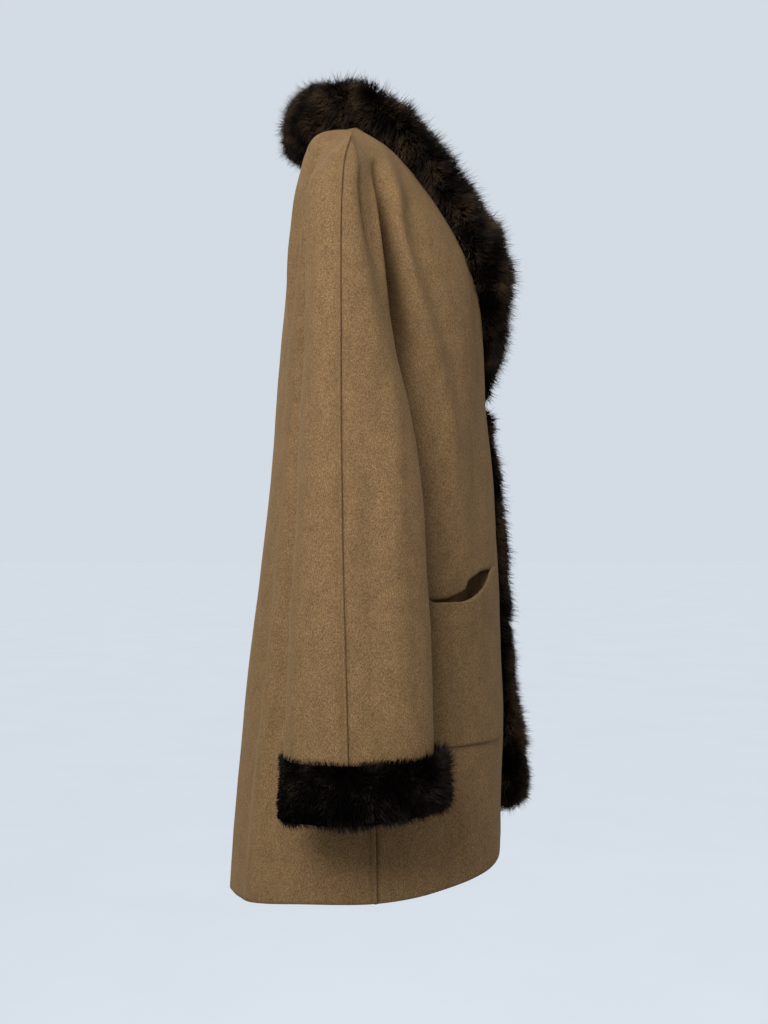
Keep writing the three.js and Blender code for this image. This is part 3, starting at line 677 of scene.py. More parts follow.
def new_material(name: str, values: dict) -> tuple[Material, Nodes, Node, Socket]:
    """An empty material with its principled shader.

    Args:
        name: the material's name.
        values: the shader's constants by input name.

    Returns:
        The material, its nodes, the shader and the output that gives the place on the object.
    """
    material = bpy.data.materials.new(name)
    material.use_nodes = True
    nodes = material.node_tree.nodes
    shader = nodes["Principled BSDF"]
    for key, value in values.items():
        shader.inputs[key].default_value = value
    return material, nodes, shader, add(nodes, "ShaderNodeTexCoord").outputs["Object"]


def link(source: Socket, target: Socket) -> None:
    """Links an output to an input."""
    source.id_data.links.new(source, target)


def add(nodes: Nodes, kind: str, values: dict | None = None, links: dict | None = None) -> Node:
    """Adds a node, sets its inputs and links others.

    Args:
        nodes: the tree's nodes.
        kind: the node's type.
        values: constants by input name.
        links: output sockets by input name.

    Returns:
        The node.
    """
    node = nodes.new(kind)
    for name, value in (values or {}).items():
        node.inputs[name].default_value = value
    for name, socket in (links or {}).items():
        link(socket, node.inputs[name])
    return node


def noise(nodes: Nodes, place: Socket, size_mm: float, detail: float = 2.0, rough: float = 0.5) -> Socket:
    """Smooth noise.

    Args:
        nodes: the tree's nodes.
        place: the output that gives the place.
        size_mm: its waves' size.
        detail: its octaves.
        rough: how strong the finer octaves are.

    Returns:
        Its value's output.
    """
    values = {"Scale": 1 / (size_mm * MM), "Detail": detail, "Roughness": rough}
    return add(nodes, "ShaderNodeTexNoise", values, {"Vector": place}).outputs["Fac"]


def ramp(nodes: Nodes, source: Socket, stops: tuple) -> Socket:
    """A colour ramp.

    Args:
        nodes: the tree's nodes.
        source: the output that it reads.
        stops: positions with their hex colours.

    Returns:
        Its colour output.
    """
    node = add(nodes, "ShaderNodeValToRGB", links={"Fac": source})
    elements = node.color_ramp.elements
    while len(elements) < len(stops):
        elements.new(0.5)
    for element, (position, colour) in zip(elements, stops):
        element.position = position
        element.color = linear(colour)
    return node.outputs["Color"]


def blend(
    nodes: Nodes, factor: float | Socket, first: Socket, second: tuple | Socket, mode: str = "MIX"
) -> Socket:
    """Two colours mixed.

    Args:
        nodes: the tree's nodes.
        factor: a number or an output that gives one.
        first: the colour at 0.
        second: the colour at 1, as a constant or an output.
        mode: how they mix.

    Returns:
        The mixed colour's output.
    """
    node = nodes.new("ShaderNodeMix")
    node.data_type = "RGBA"
    node.blend_type = mode
    for socket, value in ((node.inputs[0], factor), (node.inputs[6], first), (node.inputs[7], second)):
        if isinstance(value, Socket):
            link(value, socket)
        else:
            socket.default_value = value
    return node.outputs[2]


def grid_faces(ids: Array) -> Array:
    """The quads among a grid of point numbers."""
    return np.stack([ids[:-1, :-1], ids[:-1, 1:], ids[1:, 1:], ids[1:, :-1]], axis=-1).reshape(-1, 4)


def linked(name: str, data: bpy.types.ID) -> Object:
    """A new object of the scene, with its data.

    Args:
        name: its name.
        data: its mesh, lamp or camera.

    Returns:
        The object.
    """
    made = bpy.data.objects.new(name, data)
    bpy.context.scene.collection.objects.link(made)
    return made


class MeshMaker:
    """Points and faces that are gathered up and made into one object."""

    def __init__(self) -> None:
        """Starts with nothing."""
        self.points: list[Array] = []
        self.faces: list[Array] = []
        self.slots: list[Array] = []
        self.count = 0

    def put(self, points: Array, faces: Array, slot: int = 0) -> None:
        """Adds points in mm with the faces among them, all quads or all triangles.

        Args:
            points: an array of points in mm, of any shape that ends in 3.
            faces: an array (count, corners) of numbers among these points.
            slot: the faces' material slot.
        """
        self.points.append(points.reshape(-1, 3))
        self.faces.append(faces + self.count)
        self.slots.append(np.full(len(faces), slot))
        self.count += len(self.points[-1])

    def join(self, faces: Array) -> None:
        """Adds faces among the points that are already there, in the first slot."""
        self.faces.append(faces)
        self.slots.append(np.zeros(len(faces)))

    def make(self, name: str, *materials: Material) -> Object:
        """The object, linked to the scene, in metres.

        Args:
            name: the piece's name.
            materials: one for each slot.

        Returns:
            The object.
        """
        points = np.concatenate(self.points) * MM
        loops = np.concatenate([f.ravel() for f in self.faces]).astype(np.int32)
        sizes = np.concatenate([np.full(len(f), f.shape[1]) for f in self.faces])
        starts = np.concatenate([[0], np.cumsum(sizes)[:-1]]).astype(np.int32)
        mesh = bpy.data.meshes.new(name)
        mesh.vertices.add(len(points))
        mesh.vertices.foreach_set("co", points.astype(np.float32).ravel())
        mesh.loops.add(len(loops))
        mesh.loops.foreach_set("vertex_index", loops)
        mesh.polygons.add(len(starts))
        slots = np.concatenate(self.slots).astype(np.int32)
        for key, values in (("loop_start", starts), ("material_index", slots), ("use_smooth", starts >= 0)):
            mesh.polygons.foreach_set(key, values)
        mesh.update(calc_edges=True)
        mesh.validate()
        for material in materials:
            mesh.materials.append(material)
        return linked(name, mesh)


@dataclass(frozen=True)
class Patch:
    """A rectangle of the garment's loop: its columns and rows, and which part it lies on."""

    u: Array
    v: Array
    place: Place


def spread(stops: tuple[float, ...], counts: tuple[int, ...]) -> Array:
    """Even steps from each stop to the next, so many between each two."""
    parts = [np.linspace(a, b, count + 1)[1:] for a, b, count in zip(stops, stops[1:], counts)]
    return np.concatenate([[stops[0]], *parts])


def from_seam(start: float, end: float, count: int) -> Array:
    """Steps that are close together for the first few mm after a seam, then even."""
    close = start + np.array(SEAM_STEPS)
    return np.concatenate([close, np.linspace(close[-1], end, count)[1:]])


@dataclass
class ClothPanel:
    """One cut piece of cloth as a closed thin shell with soft edges."""

    name: str
    form: CoatForm
    sides: tuple[Side, ...]
    patches: tuple[Patch, ...]

    def surface(self, patch: Patch) -> tuple[Array, Array]:
        """A patch's outer points with their relief, and normals.

        Args:
            patch: the patch.

        Returns:
            Two arrays (rows, columns, 3), the points in mm.
        """
        bare = self.form.bare(patch.u, patch.v, patch.place)
        normals = self.form.normals(patch.u, patch.v, patch.place)
        out = self.form.relief(patch.u, patch.v, bare)
        if patch.place is Place.BODY:
            out += self.form.hollow(patch.u, patch.v)
        if abs(patch.u[0] - 8) < 1e-6:
            out += self.form.welt(bare, np.ones(len(patch.v)))
        if abs(patch.u[0] - 12) < 1e-6:
            out += self.form.welt(bare, (patch.v >= UNDERARM).astype(float))
        return bare + normals * out[..., None], normals

    def build(self, wool: Material) -> Object:
        """The panel as one object.

        Args:
            wool: its cloth.

        Returns:
            The object.
        """
        points, normals, faces, keys = [], [], [], []
        for side in self.sides:
            for patch in self.patches:
                base = sum(len(p) for p in points)
                at, n = self.surface(patch)
                flip = np.array([-side.value, 1, 1])
                rows, cols = len(patch.v), len(patch.u)
                ids = base + np.arange(rows * cols).reshape(rows, cols)
                quads = grid_faces(ids)
                points.append((at * flip).reshape(-1, 3))
                normals.append((n * flip).reshape(-1, 3))
                faces.append(quads[:, ::-1] if side is Side.LEFT else quads)
                keys.append(self.keys(patch, side))
        points, normals, faces = np.concatenate(points), np.concatenate(normals), np.concatenate(faces)
        _, first, welded = np.unique(np.concatenate(keys), axis=0, return_index=True, return_inverse=True)
        welded = welded.ravel()
        points, faces = points[first], welded[faces]
        summed = np.zeros_like(points)
        np.add.at(summed, welded, normals)
        return self.shell(points, unit(summed), faces, wool)

    def keys(self, patch: Patch, side: Side) -> Array:
        """A key for each point, equal where two patches share it.

        Args:
            patch: the patch.
            side: the half that it is on.

        Returns:
            An array (count, 4).
        """
        columns, rows = np.meshgrid(np.round(patch.u * 1e4), np.round(patch.v * 1e4))
        seam = np.isin(columns, (40000, 120000)) & (rows > UNDERARM * 1e4)
        apart = np.where(seam & (patch.place is Place.SLEEVE), 1, 0)
        half = np.where(columns == 190000, 0, side.value)
        return np.stack([columns, rows, apart, half], axis=-1).reshape(-1, 4)

    def shell(self, points: Array, normals: Array, faces: Array, wool: Material) -> Object:
        """Both faces of the cloth and its rounded edge.

        Args:
            points: the outer face's points, in mm.
            normals: the normals there.
            faces: the quads among them.
            wool: the panel's cloth.

        Returns:
            The object.
        """
        edges = np.concatenate([faces[:, [k, (k + 1) % 4]] for k in range(4)])
        count = len(points)
        code = edges[:, 0] * count + edges[:, 1]
        border = edges[~np.isin(code, edges[:, 1] * count + edges[:, 0])]
        inward = np.zeros_like(points)
        for k in (0, 1):
            along = unit(points[border[:, 1]] - points[border[:, 0]])
            np.add.at(inward, border[:, k], np.cross(normals[border[:, k]], along))
        length = np.linalg.norm(inward, axis=1, keepdims=True)
        on_edge = length[:, 0] > 0
        outer, inner, middle = points.copy(), points - normals * WALL, points - normals * WALL / 2
        # The edge is softened: both faces stop short of it and a middle row rounds it.
        soft = unit(inward) * EDGE_IN
        outer[on_edge] += soft[on_edge] - normals[on_edge] * EDGE_DOWN
        inner[on_edge] += soft[on_edge] + normals[on_edge] * EDGE_DOWN
        maker = MeshMaker()
        maker.put(np.concatenate([outer, inner, middle]), np.concatenate([faces, faces[:, ::-1] + count]))
        a, b = border[:, 0], border[:, 1]
        maker.join(np.stack([a, a + 2 * count, b + 2 * count, b], axis=-1))
        maker.join(np.stack([a + 2 * count, a + count, b + count, b + 2 * count], axis=-1))
        return maker.make(self.name, wool)


@dataclass(frozen=True)
class Pocket:
    """A patch pocket: the front's own points moved out, gaping at the mouth, with a turned edge."""

    start: float = 1.5
    end: float = 3.55
    mouth: float = 8.0
    foot: float = 10.15
    sag: float = 0.42
    gape: float = 12.0
    rise: float = 0.6  # the share of its width over which the mouth opens from the front
    fall: float = 0.24  # and over which it closes again
    turned: float = 0.7  # how much thicker the mouth's hem is, in mm
    hem: float = 26.0  # and how deep
    stitch_in: float = 4.0  # how far its stitches lie from the sewn edges
    stitch_depth: float = 0.5
    width_mm: float = 150.0  # from which the distance to the sewn sides is taken
    height_mm: float = 175.0
    columns: int = 56
    rows: int = 60
    read_rows: int = 200  # of the front, between which the pocket's rows lie

    def build(self, name: str, form: CoatForm, side: Side, wool: Material) -> Object:
        """The pocket as one thin shell.

        Args:
            name: the piece's name.
            form: the garment it lies on.
            side: which half it is on.
            wool: its cloth.

        Returns:
            The object.
        """
        a = np.linspace(0, 1, self.columns + 1)
        b = np.linspace(0, 1, self.rows + 1)
        arch = ease(a / self.rise) * ease((1 - a) / self.fall)
        u = self.start + (self.end - self.start) * a
        fine_v = np.linspace(self.mouth - 0.1, self.foot + 0.1, self.read_rows)
        sheet = form.bare(u, fine_v, Place.BODY)
        normal = form.normals(u, fine_v, Place.BODY)
        sheet = sheet + normal * form.relief(u, fine_v, sheet)[..., None]
        v = (self.mouth + self.sag * arch)[None, :] * (1 - b[:, None]) + self.foot * b[:, None]
        k = (v - fine_v[0]) / (fine_v[1] - fine_v[0])
        low = np.clip(k.astype(int), 0, len(fine_v) - 2)
        w = (k - low)[..., None]
        column = np.arange(len(u))[None, :].repeat(len(b), axis=0)
        at = sheet[low, column] * (1 - w) + sheet[low + 1, column] * w
        n = unit(normal[low, column] * (1 - w) + normal[low + 1, column] * w)
        out = LIE_GAP + self.gape * (arch[None, :] ** 0.9) * ((1 - b[:, None]) ** 2.2)
        # The turned edge of the mouth is a second layer, and the sewn sides dip at their stitches.
        height = np.linalg.norm(at - at[:1], axis=2)
        sewn = np.minimum(np.minimum(a, 1 - a)[None, :] * self.width_mm, (1 - b[:, None]) * self.height_mm)
        dip = self.stitch_depth * np.exp(-(((sewn - self.stitch_in) / 1.2) ** 2))
        turned = self.turned * ease((self.hem - height) / 3) - dip
        inner = at + n * out[..., None]
        outer = at + n * (out + WALL + turned)[..., None]
        return self.shell(name, inner, outer, side, wool)

    def shell(self, name: str, inner: Array, outer: Array, side: Side, wool: Material) -> Object:
        """Both faces and a smooth-shaded rim between them.

        Args:
            name: the piece's name.
            inner: the inner face's points (rows, columns, 3), in mm.
            outer: the outer face's.
            side: which half it is on.
            wool: its cloth.

        Returns:
            The object.
        """
        rows, cols = inner.shape[:2]
        count = rows * cols
        ids = np.arange(count).reshape(rows, cols)
        quads = grid_faces(ids)
        loop = np.concatenate([ids[0, :], ids[1:, -1], ids[-1, -2::-1], ids[-2:0:-1, 0]])
        after = np.roll(loop, -1)
        rim = np.stack([loop, loop + count, after + count, after], axis=-1)
        points = np.concatenate([outer.reshape(-1, 3), inner.reshape(-1, 3)])
        faces = np.concatenate([quads, quads[:, ::-1] + count, rim])
        if side is Side.LEFT:
            points = points * [-1, 1, 1]
            faces = faces[:, ::-1]
        maker = MeshMaker()
        maker.put(points, faces)
        return maker.make(name, wool)


@dataclass(frozen=True)
class FurCoat:
    """How one fur piece's hair lies and how much of it there is, in mm."""

    hairs: int
    pile: float  # the dense hair's length
    guard: float  # the long hairs' length
    inset: float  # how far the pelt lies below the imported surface
    lay: float  # how flat the dense hair lies along its fall, 0 being upright
    under: float = 0.0  # how much further the pelt is drawn in where it faces down
    lobe: float = 2.6  # how far the pelts' strips swell and sink
    front: float = 0.0  # how much longer the hair is where it faces forwards
    behind: float = 0.0  # how much shorter the hair is where it faces back
    sink: float = 0.0  # how far the pelt's top edge is lowered
    fringe: float = 0.0  # how far the pelt's lower edge is raised, with longer hair over it
    crest: float = 0.0  # how much longer the hair by the front's top edge is
    lift: float = 0.0  # how far the hair by the piece's top edge is turned up
    tilt: float = 0.0  # how much higher its lower edge hangs at the front
    dark: bool = False  # its hair takes the darker set of colours
    swirl: float = 0.32
    tuft: float = 0.22
    width: float = 0.62
    seed: int = 1


LOBE_MM = 46  # the swells of a pelt's strips
DRIFT_MM = 58  # the waves of the way the hair lies
LENGTH_MM = 40  # the waves of its length
LENGTH_VARIES = 0.12  # and how much it varies with them
SEWN_MM = 0.8  # nearer to the cloth than this, the pelt is sewn to it
FREE_MM = 5  # and this much further off it is free
ROOM_MM = 2.5  # no hair grows where the cloth is this near in front of it
SINK_MM, LIFT_MM, CREST_MM = 14, 22, 24  # how far down from the top edge each of these reaches
FRINGE_MM = 18  # how far up from its lower edge a pelt is raised and its hair longer
FRINGE_SHARE = 0.08  # how much longer, for each mm that it is raised
TILT_MM = 75  # how far forwards of the piece's middle its tilt is full
UNDER_SLOPE = 1.4  # how soon a face that looks down is drawn in fully
GUARD_SHARE = 0.2  # of the hairs
GUARD_LAY, GUARD_STRAY, PILE_STRAY = 0.35, 0.18, 0.2  # guard hair lies less flat, and how far each strays
TUFT_HAIRS = 42  # hairs whose tips one tuft draws together
ARCH = 0.07  # how far a hair's middle stands out, as a share of its length


class FurPiece:
    """A fur piece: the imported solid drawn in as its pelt, with hair all over what doesn't lie on cloth."""

    def __init__(self, name: str, solid: Object, coat: FurCoat, cloth: BVHTree) -> None:
        """Reads the solid's faces and smooth normals, in mm, and the cloth that it is sewn to.

        Args:
            name: the piece's name.
            solid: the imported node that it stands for.
            coat: its hair's measures.
            cloth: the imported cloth, in mm.
        """
        self.name = name
        self.coat = coat
        self.cloth = cloth
        mesh = solid.data
        mesh.calc_loop_triangles()
        raw = np.empty(len(mesh.vertices) * 3, np.float32)
        mesh.vertices.foreach_get("co", raw)
        corners = np.empty(len(mesh.loop_triangles) * 3, np.int32)
        mesh.loop_triangles.foreach_get("vertices", corners)
        raw = raw.reshape(-1, 3).astype(float) / MM
        _, first, same = np.unique(np.round(raw, 2), axis=0, return_index=True, return_inverse=True)
        self.points = raw[first]
        self.triangles = same.ravel()[corners].reshape(-1, 3)
        a, b, c = (self.points[self.triangles[:, k]] for k in range(3))
        self.across = np.cross(b - a, c - a)
        self.normals = np.zeros_like(self.points)
        for k in range(3):
            np.add.at(self.normals, self.triangles[:, k], self.across)
        self.normals = unit(self.normals)
        self.top = float(self.points[:, 2].max())
        self.low = float(self.points[:, 2].min())
        self.middle = float(self.points[:, 1].mean())

    def clear(self, at: Array) -> Array:
        """From 0 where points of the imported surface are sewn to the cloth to 1 where they are well away."""
        away = np.array([self.cloth.find_nearest(Vector(p))[3] for p in at])
        return ease((away - SEWN_MM) / FREE_MM)

    def drawn_in(self, at: Array, n: Array, clear: Array) -> Array:
        """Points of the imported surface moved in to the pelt, with the swells of its strips.

        Args:
            at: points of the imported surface, in mm.
            n: the normals there.
            clear: how far they are from being sewn down, from 0 to 1.

        Returns:
            The moved points, in mm.
        """
        coat = self.coat
        inset = coat.inset + coat.under * np.clip(-n[:, 2] * UNDER_SLOPE, 0, 1)
        swell = coat.lobe * fine_noise(at, LOBE_MM, coat.seed + 5)
        moved = at + n * ((swell - inset) * clear)[:, None]
        front = np.clip((self.middle - at[:, 1]) / TILT_MM, 0, 1) ** 1.5
        moved[:, 2] += coat.tilt * front * (self.top - at[:, 2]) / (self.top - self.low)
        moved[:, 2] -= coat.sink * self.by_top(at, SINK_MM)
        moved[:, 2] += coat.fringe * self.by_foot(at)
        return moved

    def by_top(self, at: Array, reach: float) -> Array:
        """From 1 at the piece's top edge to 0 at reach mm below it."""
        return ease(1 - (self.top - at[:, 2]) / reach)

    def by_foot(self, at: Array) -> Array:
        """From 1 at the piece's lower edge to 0 at FRINGE_MM above it."""
        return ease(1 - (at[:, 2] - self.low) / FRINGE_MM)

    def roots(self, rng: np.random.Generator) -> tuple[Array, Array]:
        """Seeded roots on the solid's open faces, with the normals there.

        Args:
            rng: the piece's random draws.

        Returns:
            Two arrays (count, 3), the roots in mm.
        """
        area = np.linalg.norm(self.across, axis=1)
        chosen = rng.choice(len(area), self.coat.hairs, p=area / area.sum())
        r, s = rng.random((2, len(chosen)))
        low = r + s > 1
        r, s = np.where(low, 1 - r, r)[:, None], np.where(low, 1 - s, s)[:, None]
        i, j, k = self.triangles[chosen].T
        at = self.points[i] * (1 - r - s) + self.points[j] * r + self.points[k] * s
        n = unit(self.normals[i] * (1 - r - s) + self.normals[j] * r + self.normals[k] * s)
        own = unit(self.across[chosen])
        n = unit(n + own * 0.15)
        hits = [self.cloth.ray_cast(Vector(p), Vector(d), ROOM_MM)[0] for p, d in zip(at, own)]
        free = np.array([hit is None for hit in hits])
        return at[free], n[free]

    def directions(self, at: Array, n: Array, guard: Array, rng: np.random.Generator) -> Array:
        """The way each hair grows: the dense hair lies along its fall, and the guard hairs stand off it.

        Args:
            at: the roots, in mm.
            n: the normals there.
            guard: which of them are guard hairs.
            rng: the piece's random draws.

        Returns:
            An array (count, 3) of unit vectors.
        """
        fall = np.array([0, -0.15, -1.0]) + np.zeros_like(at)
        fall = unit(fall - n * np.sum(fall * n, axis=1, keepdims=True) + n * 1e-3)
        drift = np.stack([fine_noise(at, DRIFT_MM, self.coat.seed + k) for k in range(3)], axis=1)
        lay = self.coat.lay * np.where(guard, GUARD_LAY, 1.0)[:, None]
        stray = np.where(guard, GUARD_STRAY, PILE_STRAY)[:, None]
        way = n + fall * lay + drift * self.coat.swirl + rng.normal(size=at.shape) * stray
        way[:, 2] += self.coat.lift * self.by_top(at, LIFT_MM) * np.clip(0.3 - n[:, 1], 0, 1)
        return unit(way)

    def tufts(self, at: Array, tips: Array, rng: np.random.Generator) -> Array:
        """Draws the tips of neighbouring hairs together, more in some tufts than in others.

        Args:
            at: the roots, in mm.
            tips: the hairs' tips, in mm.
            rng: the piece's random draws.

        Returns:
            The moved tips, in mm.
        """
        count = max(8, len(at) // TUFT_HAIRS)
        heads = rng.choice(len(at), count, replace=False)
        tree = KDTree(count)
        for k, h in enumerate(heads):
            tree.insert(at[h], k)
        tree.balance()
        nearest = np.array([tree.find(p)[1] for p in at])
        pull = self.coat.tuft * (2 * rng.random(count))[nearest][:, None]
        return tips + (tips[heads][nearest] - tips) * pull

    def build(self, hair: Material, pelt: Material) -> Object:
        """The piece as one object with its pelt and its hairs.

        Args:
            hair: the guard hairs' material.
            pelt: the pelt's material, near-black with painted shade for the depth between the hairs.

        Returns:
            The object.
        """
        coat, rng = self.coat, np.random.default_rng(self.coat.seed)
        at, n = self.roots(rng)
        clear = self.clear(at)
        guard = rng.random(len(at)) < GUARD_SHARE
        way = self.directions(at, n, guard, rng)
        long = coat.pile * (0.7 + 0.3 * rng.random(len(at)))
        long = np.where(guard, coat.guard * (0.6 + 0.4 * rng.random(len(at))), long)
        long *= 1 + LENGTH_VARIES * fine_noise(at, LENGTH_MM, coat.seed + 9)
        ahead, astern = np.clip(-n[:, 1], 0, 1), np.clip(n[:, 1], 0, 1)
        long *= 1 + coat.front * ahead + coat.crest * ahead * self.by_top(at, CREST_MM)
        long *= 1 - coat.behind * astern
        long *= 1 + FRINGE_SHARE * coat.fringe * self.by_foot(at)
        long *= 0.5 + 0.5 * clear
        long = long[:, None]
        at = self.drawn_in(at, n, clear)
        tips = self.tufts(at, at + way * long, rng)
        middle = at + (tips - at) * 0.5 + n * long * ARCH
        side = unit(np.cross(tips - at, rng.normal(size=at.shape)))
        half = side * (coat.width / 2) * np.where(guard, 0.62, 1.0)[:, None]
        strands = np.stack([at - half, at + half, middle + half * 0.8, middle - half * 0.8, tips], axis=1)
        base = np.arange(len(at))[:, None] * 5
        maker = MeshMaker()
        maker.put(self.drawn_in(self.points, self.normals, self.clear(self.points)), self.triangles, 1)
        maker.put(strands, np.concatenate([base + [[0, 1, 2]], base + [[0, 2, 3]], base + [[3, 2, 4]]]), 0)
        return maker.make(self.name, hair, pelt)


WIRE_TIP = (0.35, 0.8)  # the last two rings at each end, as shares of the radius


@dataclass(frozen=True)
class WireShape:
    """A bent wire of the closure, through points in mm whose heights are from HOOK_Z."""

    points: tuple[tuple[float, float, float], ...]
    radius: float
    steps: int = 90
    sides: int = 14

    def build(self, name: str, metal: Material) -> Object:
        """The wire as one closed tube with rounded ends.

        Args:
            name: the piece's name.
            metal: its material.

        Returns:
            The object.
        """
        points = np.array(self.points, float) + [0, 0, HOOK_Z]
        line = spline(points, np.linspace(0, len(points) - 1, self.steps))
        tangent = unit(np.gradient(line, axis=0))
        frame = unit(np.cross(tangent[0], [0.2, 0.3, 1]))
        angle = np.linspace(0, 2 * math.pi, self.sides, endpoint=False)
        rings = []
        for k, (p, t) in enumerate(zip(line, tangent)):
            frame = unit(frame - t * np.dot(frame, t))
            across = np.cross(t, frame)
            ends = min(k, self.steps - 1 - k)
            r = self.radius * (1.0 if ends > 1 else WIRE_TIP[ends])
            rings.append(p + r * (np.cos(angle)[:, None] * frame + np.sin(angle)[:, None] * across))
        count = self.steps * self.sides
        ids = np.arange(count).reshape(self.steps, self.sides)
        maker = MeshMaker()
        maker.put(np.concatenate([*rings, line[:1], line[-1:]]), grid_faces(np.hstack([ids, ids[:, :1]])))
        first = np.stack([np.roll(ids[0], -1), ids[0], np.full(self.sides, count)], axis=-1)
        last = np.stack([ids[-1], np.roll(ids[-1], -1), np.full(self.sides, count + 1)], axis=-1)
        maker.join(np.concatenate([first, last]))
        return maker.make(name, metal)


HOOK = WireShape(
    (
        (-22, -128.75, -1.6), (-18, -128.9, -0.6), (-12, -129.5, 0), (-4, -130.2, 0), (1.5, -130.1, 0),
        (3.8, -131, 0), (4.3, -132.4, 0), (3.4, -133.7, 0), (0.5, -134.2, 0),
    ),
    0.8,
)
EYE = WireShape(
    (
        (22, -128.7, 4.4), (14, -129.2, 3.6), (4, -132, 3), (1.4, -132.2, 2.2), (1, -132.2, 0),
        (1.4, -132.2, -2.2), (4, -132, -3), (14, -129.2, -3.6), (22, -128.9, -4.4),
    ),
    0.68,
)

CUFF_COAT = FurCoat(
    hairs=32000, pile=9.5, guard=14, inset=5.5, lay=0.5, under=3, lobe=3.0, front=0.35, behind=0.5, sink=4,
    crest=0.9, fringe=4.5, lift=1.8, tilt=9, dark=True,
)
BAND_COAT = FurCoat(
    hairs=32000, pile=11, guard=17, inset=4.5, lay=0.55, under=7, fringe=4, lobe=3.0, front=0.2
)
COLLAR_COAT = FurCoat(hairs=50000, pile=14, guard=24, inset=8, lay=0.45, lobe=3.4, front=0.1)
FUR = {
    "collar_back": replace(COLLAR_COAT, under=6, seed=1),
    "collar_right": replace(COLLAR_COAT, seed=11),
    "collar_left": replace(COLLAR_COAT, seed=23),
    "band_right": replace(BAND_COAT, seed=31),
    "band_left": replace(BAND_COAT, seed=43),
    "cuff_right": replace(CUFF_COAT, seed=53),
    "cuff_left": replace(CUFF_COAT, seed=61),
}


@dataclass(frozen=True)
class Cut:
    """A cloth piece's cut: its width and length in metres and its flat area in square metres."""

    flat: tuple[float, float]
    area: float


class Coat:
    """The whole garment, piece by piece."""

    def __init__(self, frame: dict) -> None:
        """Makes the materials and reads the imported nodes.
        """
        self.nodes = frame["nodes"]
        self.pieces: dict[str, Object] = {}
        self.form = CoatForm()
        self.wool = WoolCloth().make()
        self.hair = FurHair().make()
        self.dark_hair = FurHair("darkest_fur_guard_hair", "#050404", "#14110f", "#2c2521").make()
        # The pelt's near-black is partly painted shade for the depth between the hairs.
        self.pelt = PELT_WITH_PAINTED_DEPTH_SHADE.make()
        self.metal = DARK_WIRE.make()

    def finish(self, piece: Object, node: str, slot: str) -> None:
        """Lets a piece ride the garment's body and stand for its node.

        Args:
            piece: the object.
            node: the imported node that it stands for.
            slot: its surface's slot.
        """
        piece.name = f"{slot}_{node}"
        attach(piece, "root")
        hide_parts(node)
        self.pieces[node] = piece
        LOG.info("%s: %d faces", piece.name, len(piece.data.polygons))

    def patches(self, body: Array, sleeve: Array, low: Array) -> tuple[Patch, ...]:
        """A panel's patches, above and below the underarm.

        Args:
            body: the columns of the body's part.
            sleeve: the columns of the sleeve's part.
            low: the body's rows below the underarm.

        Returns:
            The four patches.
        """
        upper, lower = spread((0, UNDERARM), (64,)), spread((UNDERARM, CUFF), (60,))
        return (
            Patch(body, upper, Place.BODY),
            Patch(sleeve, upper, Place.SLEEVE),
            Patch(body, low, Place.BODY),
            Patch(sleeve, lower, Place.SLEEVE),
        )

    def build_cloth(self) -> None:
        """The two fronts, the back and the two pockets."""
        # Closer together round the pocket's mouth and beside the back's raised seams.
        mouth = spread((UNDERARM, 7.8, 8.6, HEM), (26, 36, 46))
        front = self.patches(spread((0, 1.7, 2.6, 4), (20, 30, 16)), spread((4, 8), (40,)), mouth)
        back = self.patches(from_seam(12, 19, 60), from_seam(8, 12, 38), spread((UNDERARM, HEM), (84,)))
        panels = (
            ClothPanel("front_right", self.form, (Side.RIGHT,), front),
            ClothPanel("front_left", self.form, (Side.LEFT,), front),
            ClothPanel("back", self.form, (Side.RIGHT, Side.LEFT), back),
        )
        for panel in panels:
            self.finish(panel.build(self.wool), panel.name, "wool")
        for name, side in (("pocket_right", Side.RIGHT), ("pocket_left", Side.LEFT)):
            self.finish(Pocket().build(name, self.form, side, self.wool), name, "wool")

    def build_fur(self) -> None:
        """The collar, bands and cuffs."""
        cloth = self.cloth_tree()
        for name, coat in FUR.items():
            hair = self.dark_hair if coat.dark else self.hair
            piece = FurPiece(name, self.nodes[name], coat, cloth).build(hair, self.pelt)
            self.finish(piece, name, "fur")

    def cloth_tree(self) -> BVHTree:
        """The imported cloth, in mm, for hair to keep out of.

        Returns:
            The three panels' faces as one tree.
        """
        points, faces = [], []
        for name in ("front_right", "front_left", "back"):
            mesh = self.nodes[name].data
            mesh.calc_loop_triangles()
            base = len(points)
            points += [v.co / MM for v in mesh.vertices]
            faces += [tuple(base + k for k in t.vertices) for t in mesh.loop_triangles]
        return BVHTree.FromPolygons(points, faces)

    def build_closure(self) -> None:
        """The hook and the eye at the foot of the collar."""
        for name, shape in (("hook", HOOK), ("eye", EYE)):
            self.finish(shape.build(name, self.metal), name, "metal")


@dataclass(frozen=True)
class Lamp:
    """A square soft lamp: its place and its side's length in metres, and its watts."""

    name: str
    place: tuple[float, float, float]
    size: float
    watts: float


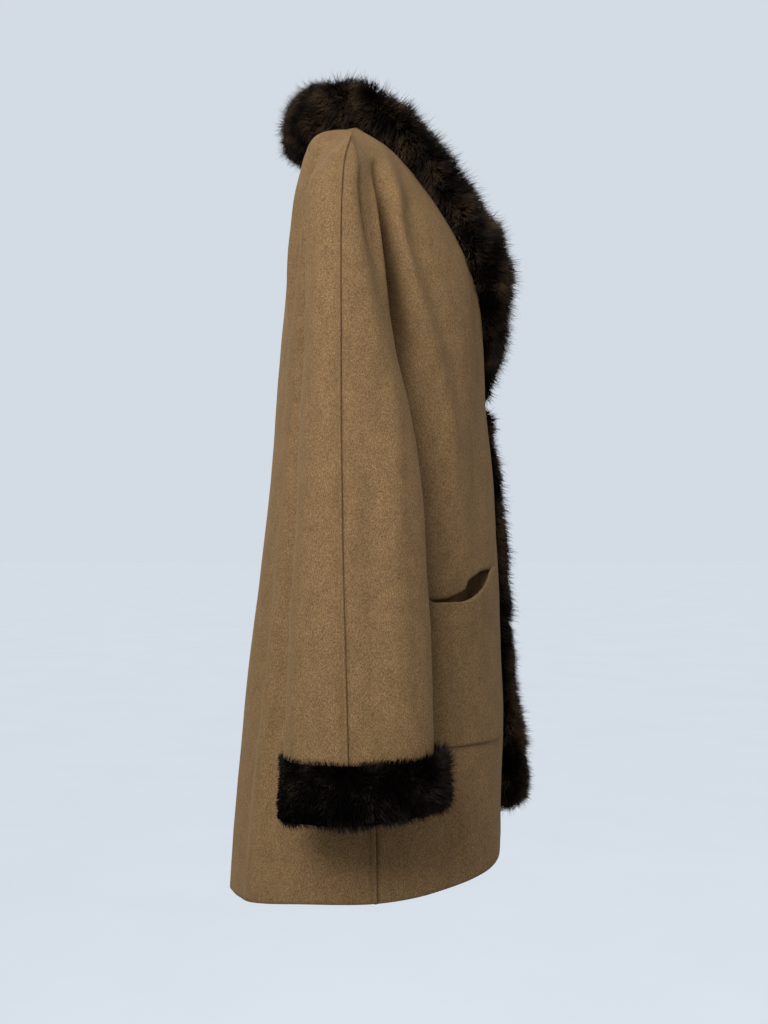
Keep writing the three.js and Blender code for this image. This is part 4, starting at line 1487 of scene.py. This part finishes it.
@dataclass(frozen=True)
class Studio:
    """A plain pale studio, soft light and the camera at the photograph's angle. Sizes are in metres."""

    camera_x: float = -1.7
    camera_y: float = -0.024
    camera_z: float = -0.404
    focal_px: float = 1545.0
    height_px: float = 1024.0
    sensor_mm: float = 36.0
    floor_z: float = -2.4
    floor_half: float = 60.0
    surround: str = "#d3dbe4"
    aim: tuple[float, float, float] = (0, 0, -0.2)  # the coat's middle
    lamp_spread: float = 80.0
    lamp_colour: tuple[float, float, float] = (0.89, 0.95, 1.0)
    lamps: tuple[Lamp, ...] = (
        Lamp("key", (-1.7, 0.6, 0.62), 1.1, 16.5),
        Lamp("fill", (-0.7, -1.5, 0.9), 0.9, 0.8),
        Lamp("far", (1.2, 0.1, 1.0), 0.9, 5),
    )

    def build(self) -> None:
        """The camera, the lamps, the world and the floor."""
        self.add_camera()
        self.add_world()
        for lamp in self.lamps:
            self.add_lamp(lamp)
        self.add_floor()

    def add_camera(self) -> None:
        """A level camera on the wearer's right."""
        data = bpy.data.cameras.new("camera")
        data.sensor_fit = "VERTICAL"
        data.sensor_height = self.sensor_mm
        data.lens = self.focal_px * self.sensor_mm / self.height_px
        camera = linked("camera", data)
        camera.location = (self.camera_x, self.camera_y, self.camera_z)
        camera.rotation_euler = (math.radians(90), 0, math.radians(-90))
        bpy.context.scene.camera = camera

    def add_world(self) -> None:
        """A pale surround, even round the horizon and a little brighter overhead."""
        world = bpy.data.worlds.new("surround")
        world.use_nodes = True
        nodes = world.node_tree.nodes
        place = add(nodes, "ShaderNodeTexCoord")
        split = add(nodes, "ShaderNodeSeparateXYZ", links={"Vector": place.outputs["Generated"]})
        # From the sine of the height above the horizon.
        rise = add(
            nodes,
            "ShaderNodeMapRange",
            {"From Min": 0.42, "From Max": 0.95, "To Min": 1.0, "To Max": 1.15},
            {"Value": split.outputs["Z"]},
        )
        back = nodes["Background"]
        back.inputs["Color"].default_value = linear(self.surround)
        link(rise.outputs["Result"], back.inputs["Strength"])
        bpy.context.scene.world = world

    def add_lamp(self, lamp: Lamp) -> None:
        """One of the lamps, facing the coat's middle.

        Args:
            lamp: its measures.
        """
        data = bpy.data.lights.new(lamp.name, "AREA")
        data.size = lamp.size
        data.energy = lamp.watts
        data.spread = math.radians(self.lamp_spread)
        data.color = self.lamp_colour
        made = linked(lamp.name, data)
        made.location = lamp.place
        made.rotation_euler = (Vector(self.aim) - Vector(lamp.place)).to_track_quat("-Z", "Y").to_euler()

    def add_floor(self) -> None:
        """A plain floor below the coat."""
        corners = np.array([[-1, -1, 0], [1, -1, 0], [1, 1, 0], [-1, 1, 0]], float) * self.floor_half / MM
        corners[:, 2] = self.floor_z / MM
        maker = MeshMaker()
        maker.put(corners, np.array([[0, 1, 2, 3]]))
        maker.make("floor", PLAIN_PAPER.make())


def main() -> None:
    """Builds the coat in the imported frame, then the studio."""
    logging.basicConfig(level=logging.INFO, format="%(message)s")
    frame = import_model()
    coat = Coat(frame)
    coat.build_cloth()
    coat.build_fur()
    coat.build_closure()
    Studio().build()
    bpy.context.scene.view_settings.view_transform = "Standard"


if __name__ == "__main__":
    main()
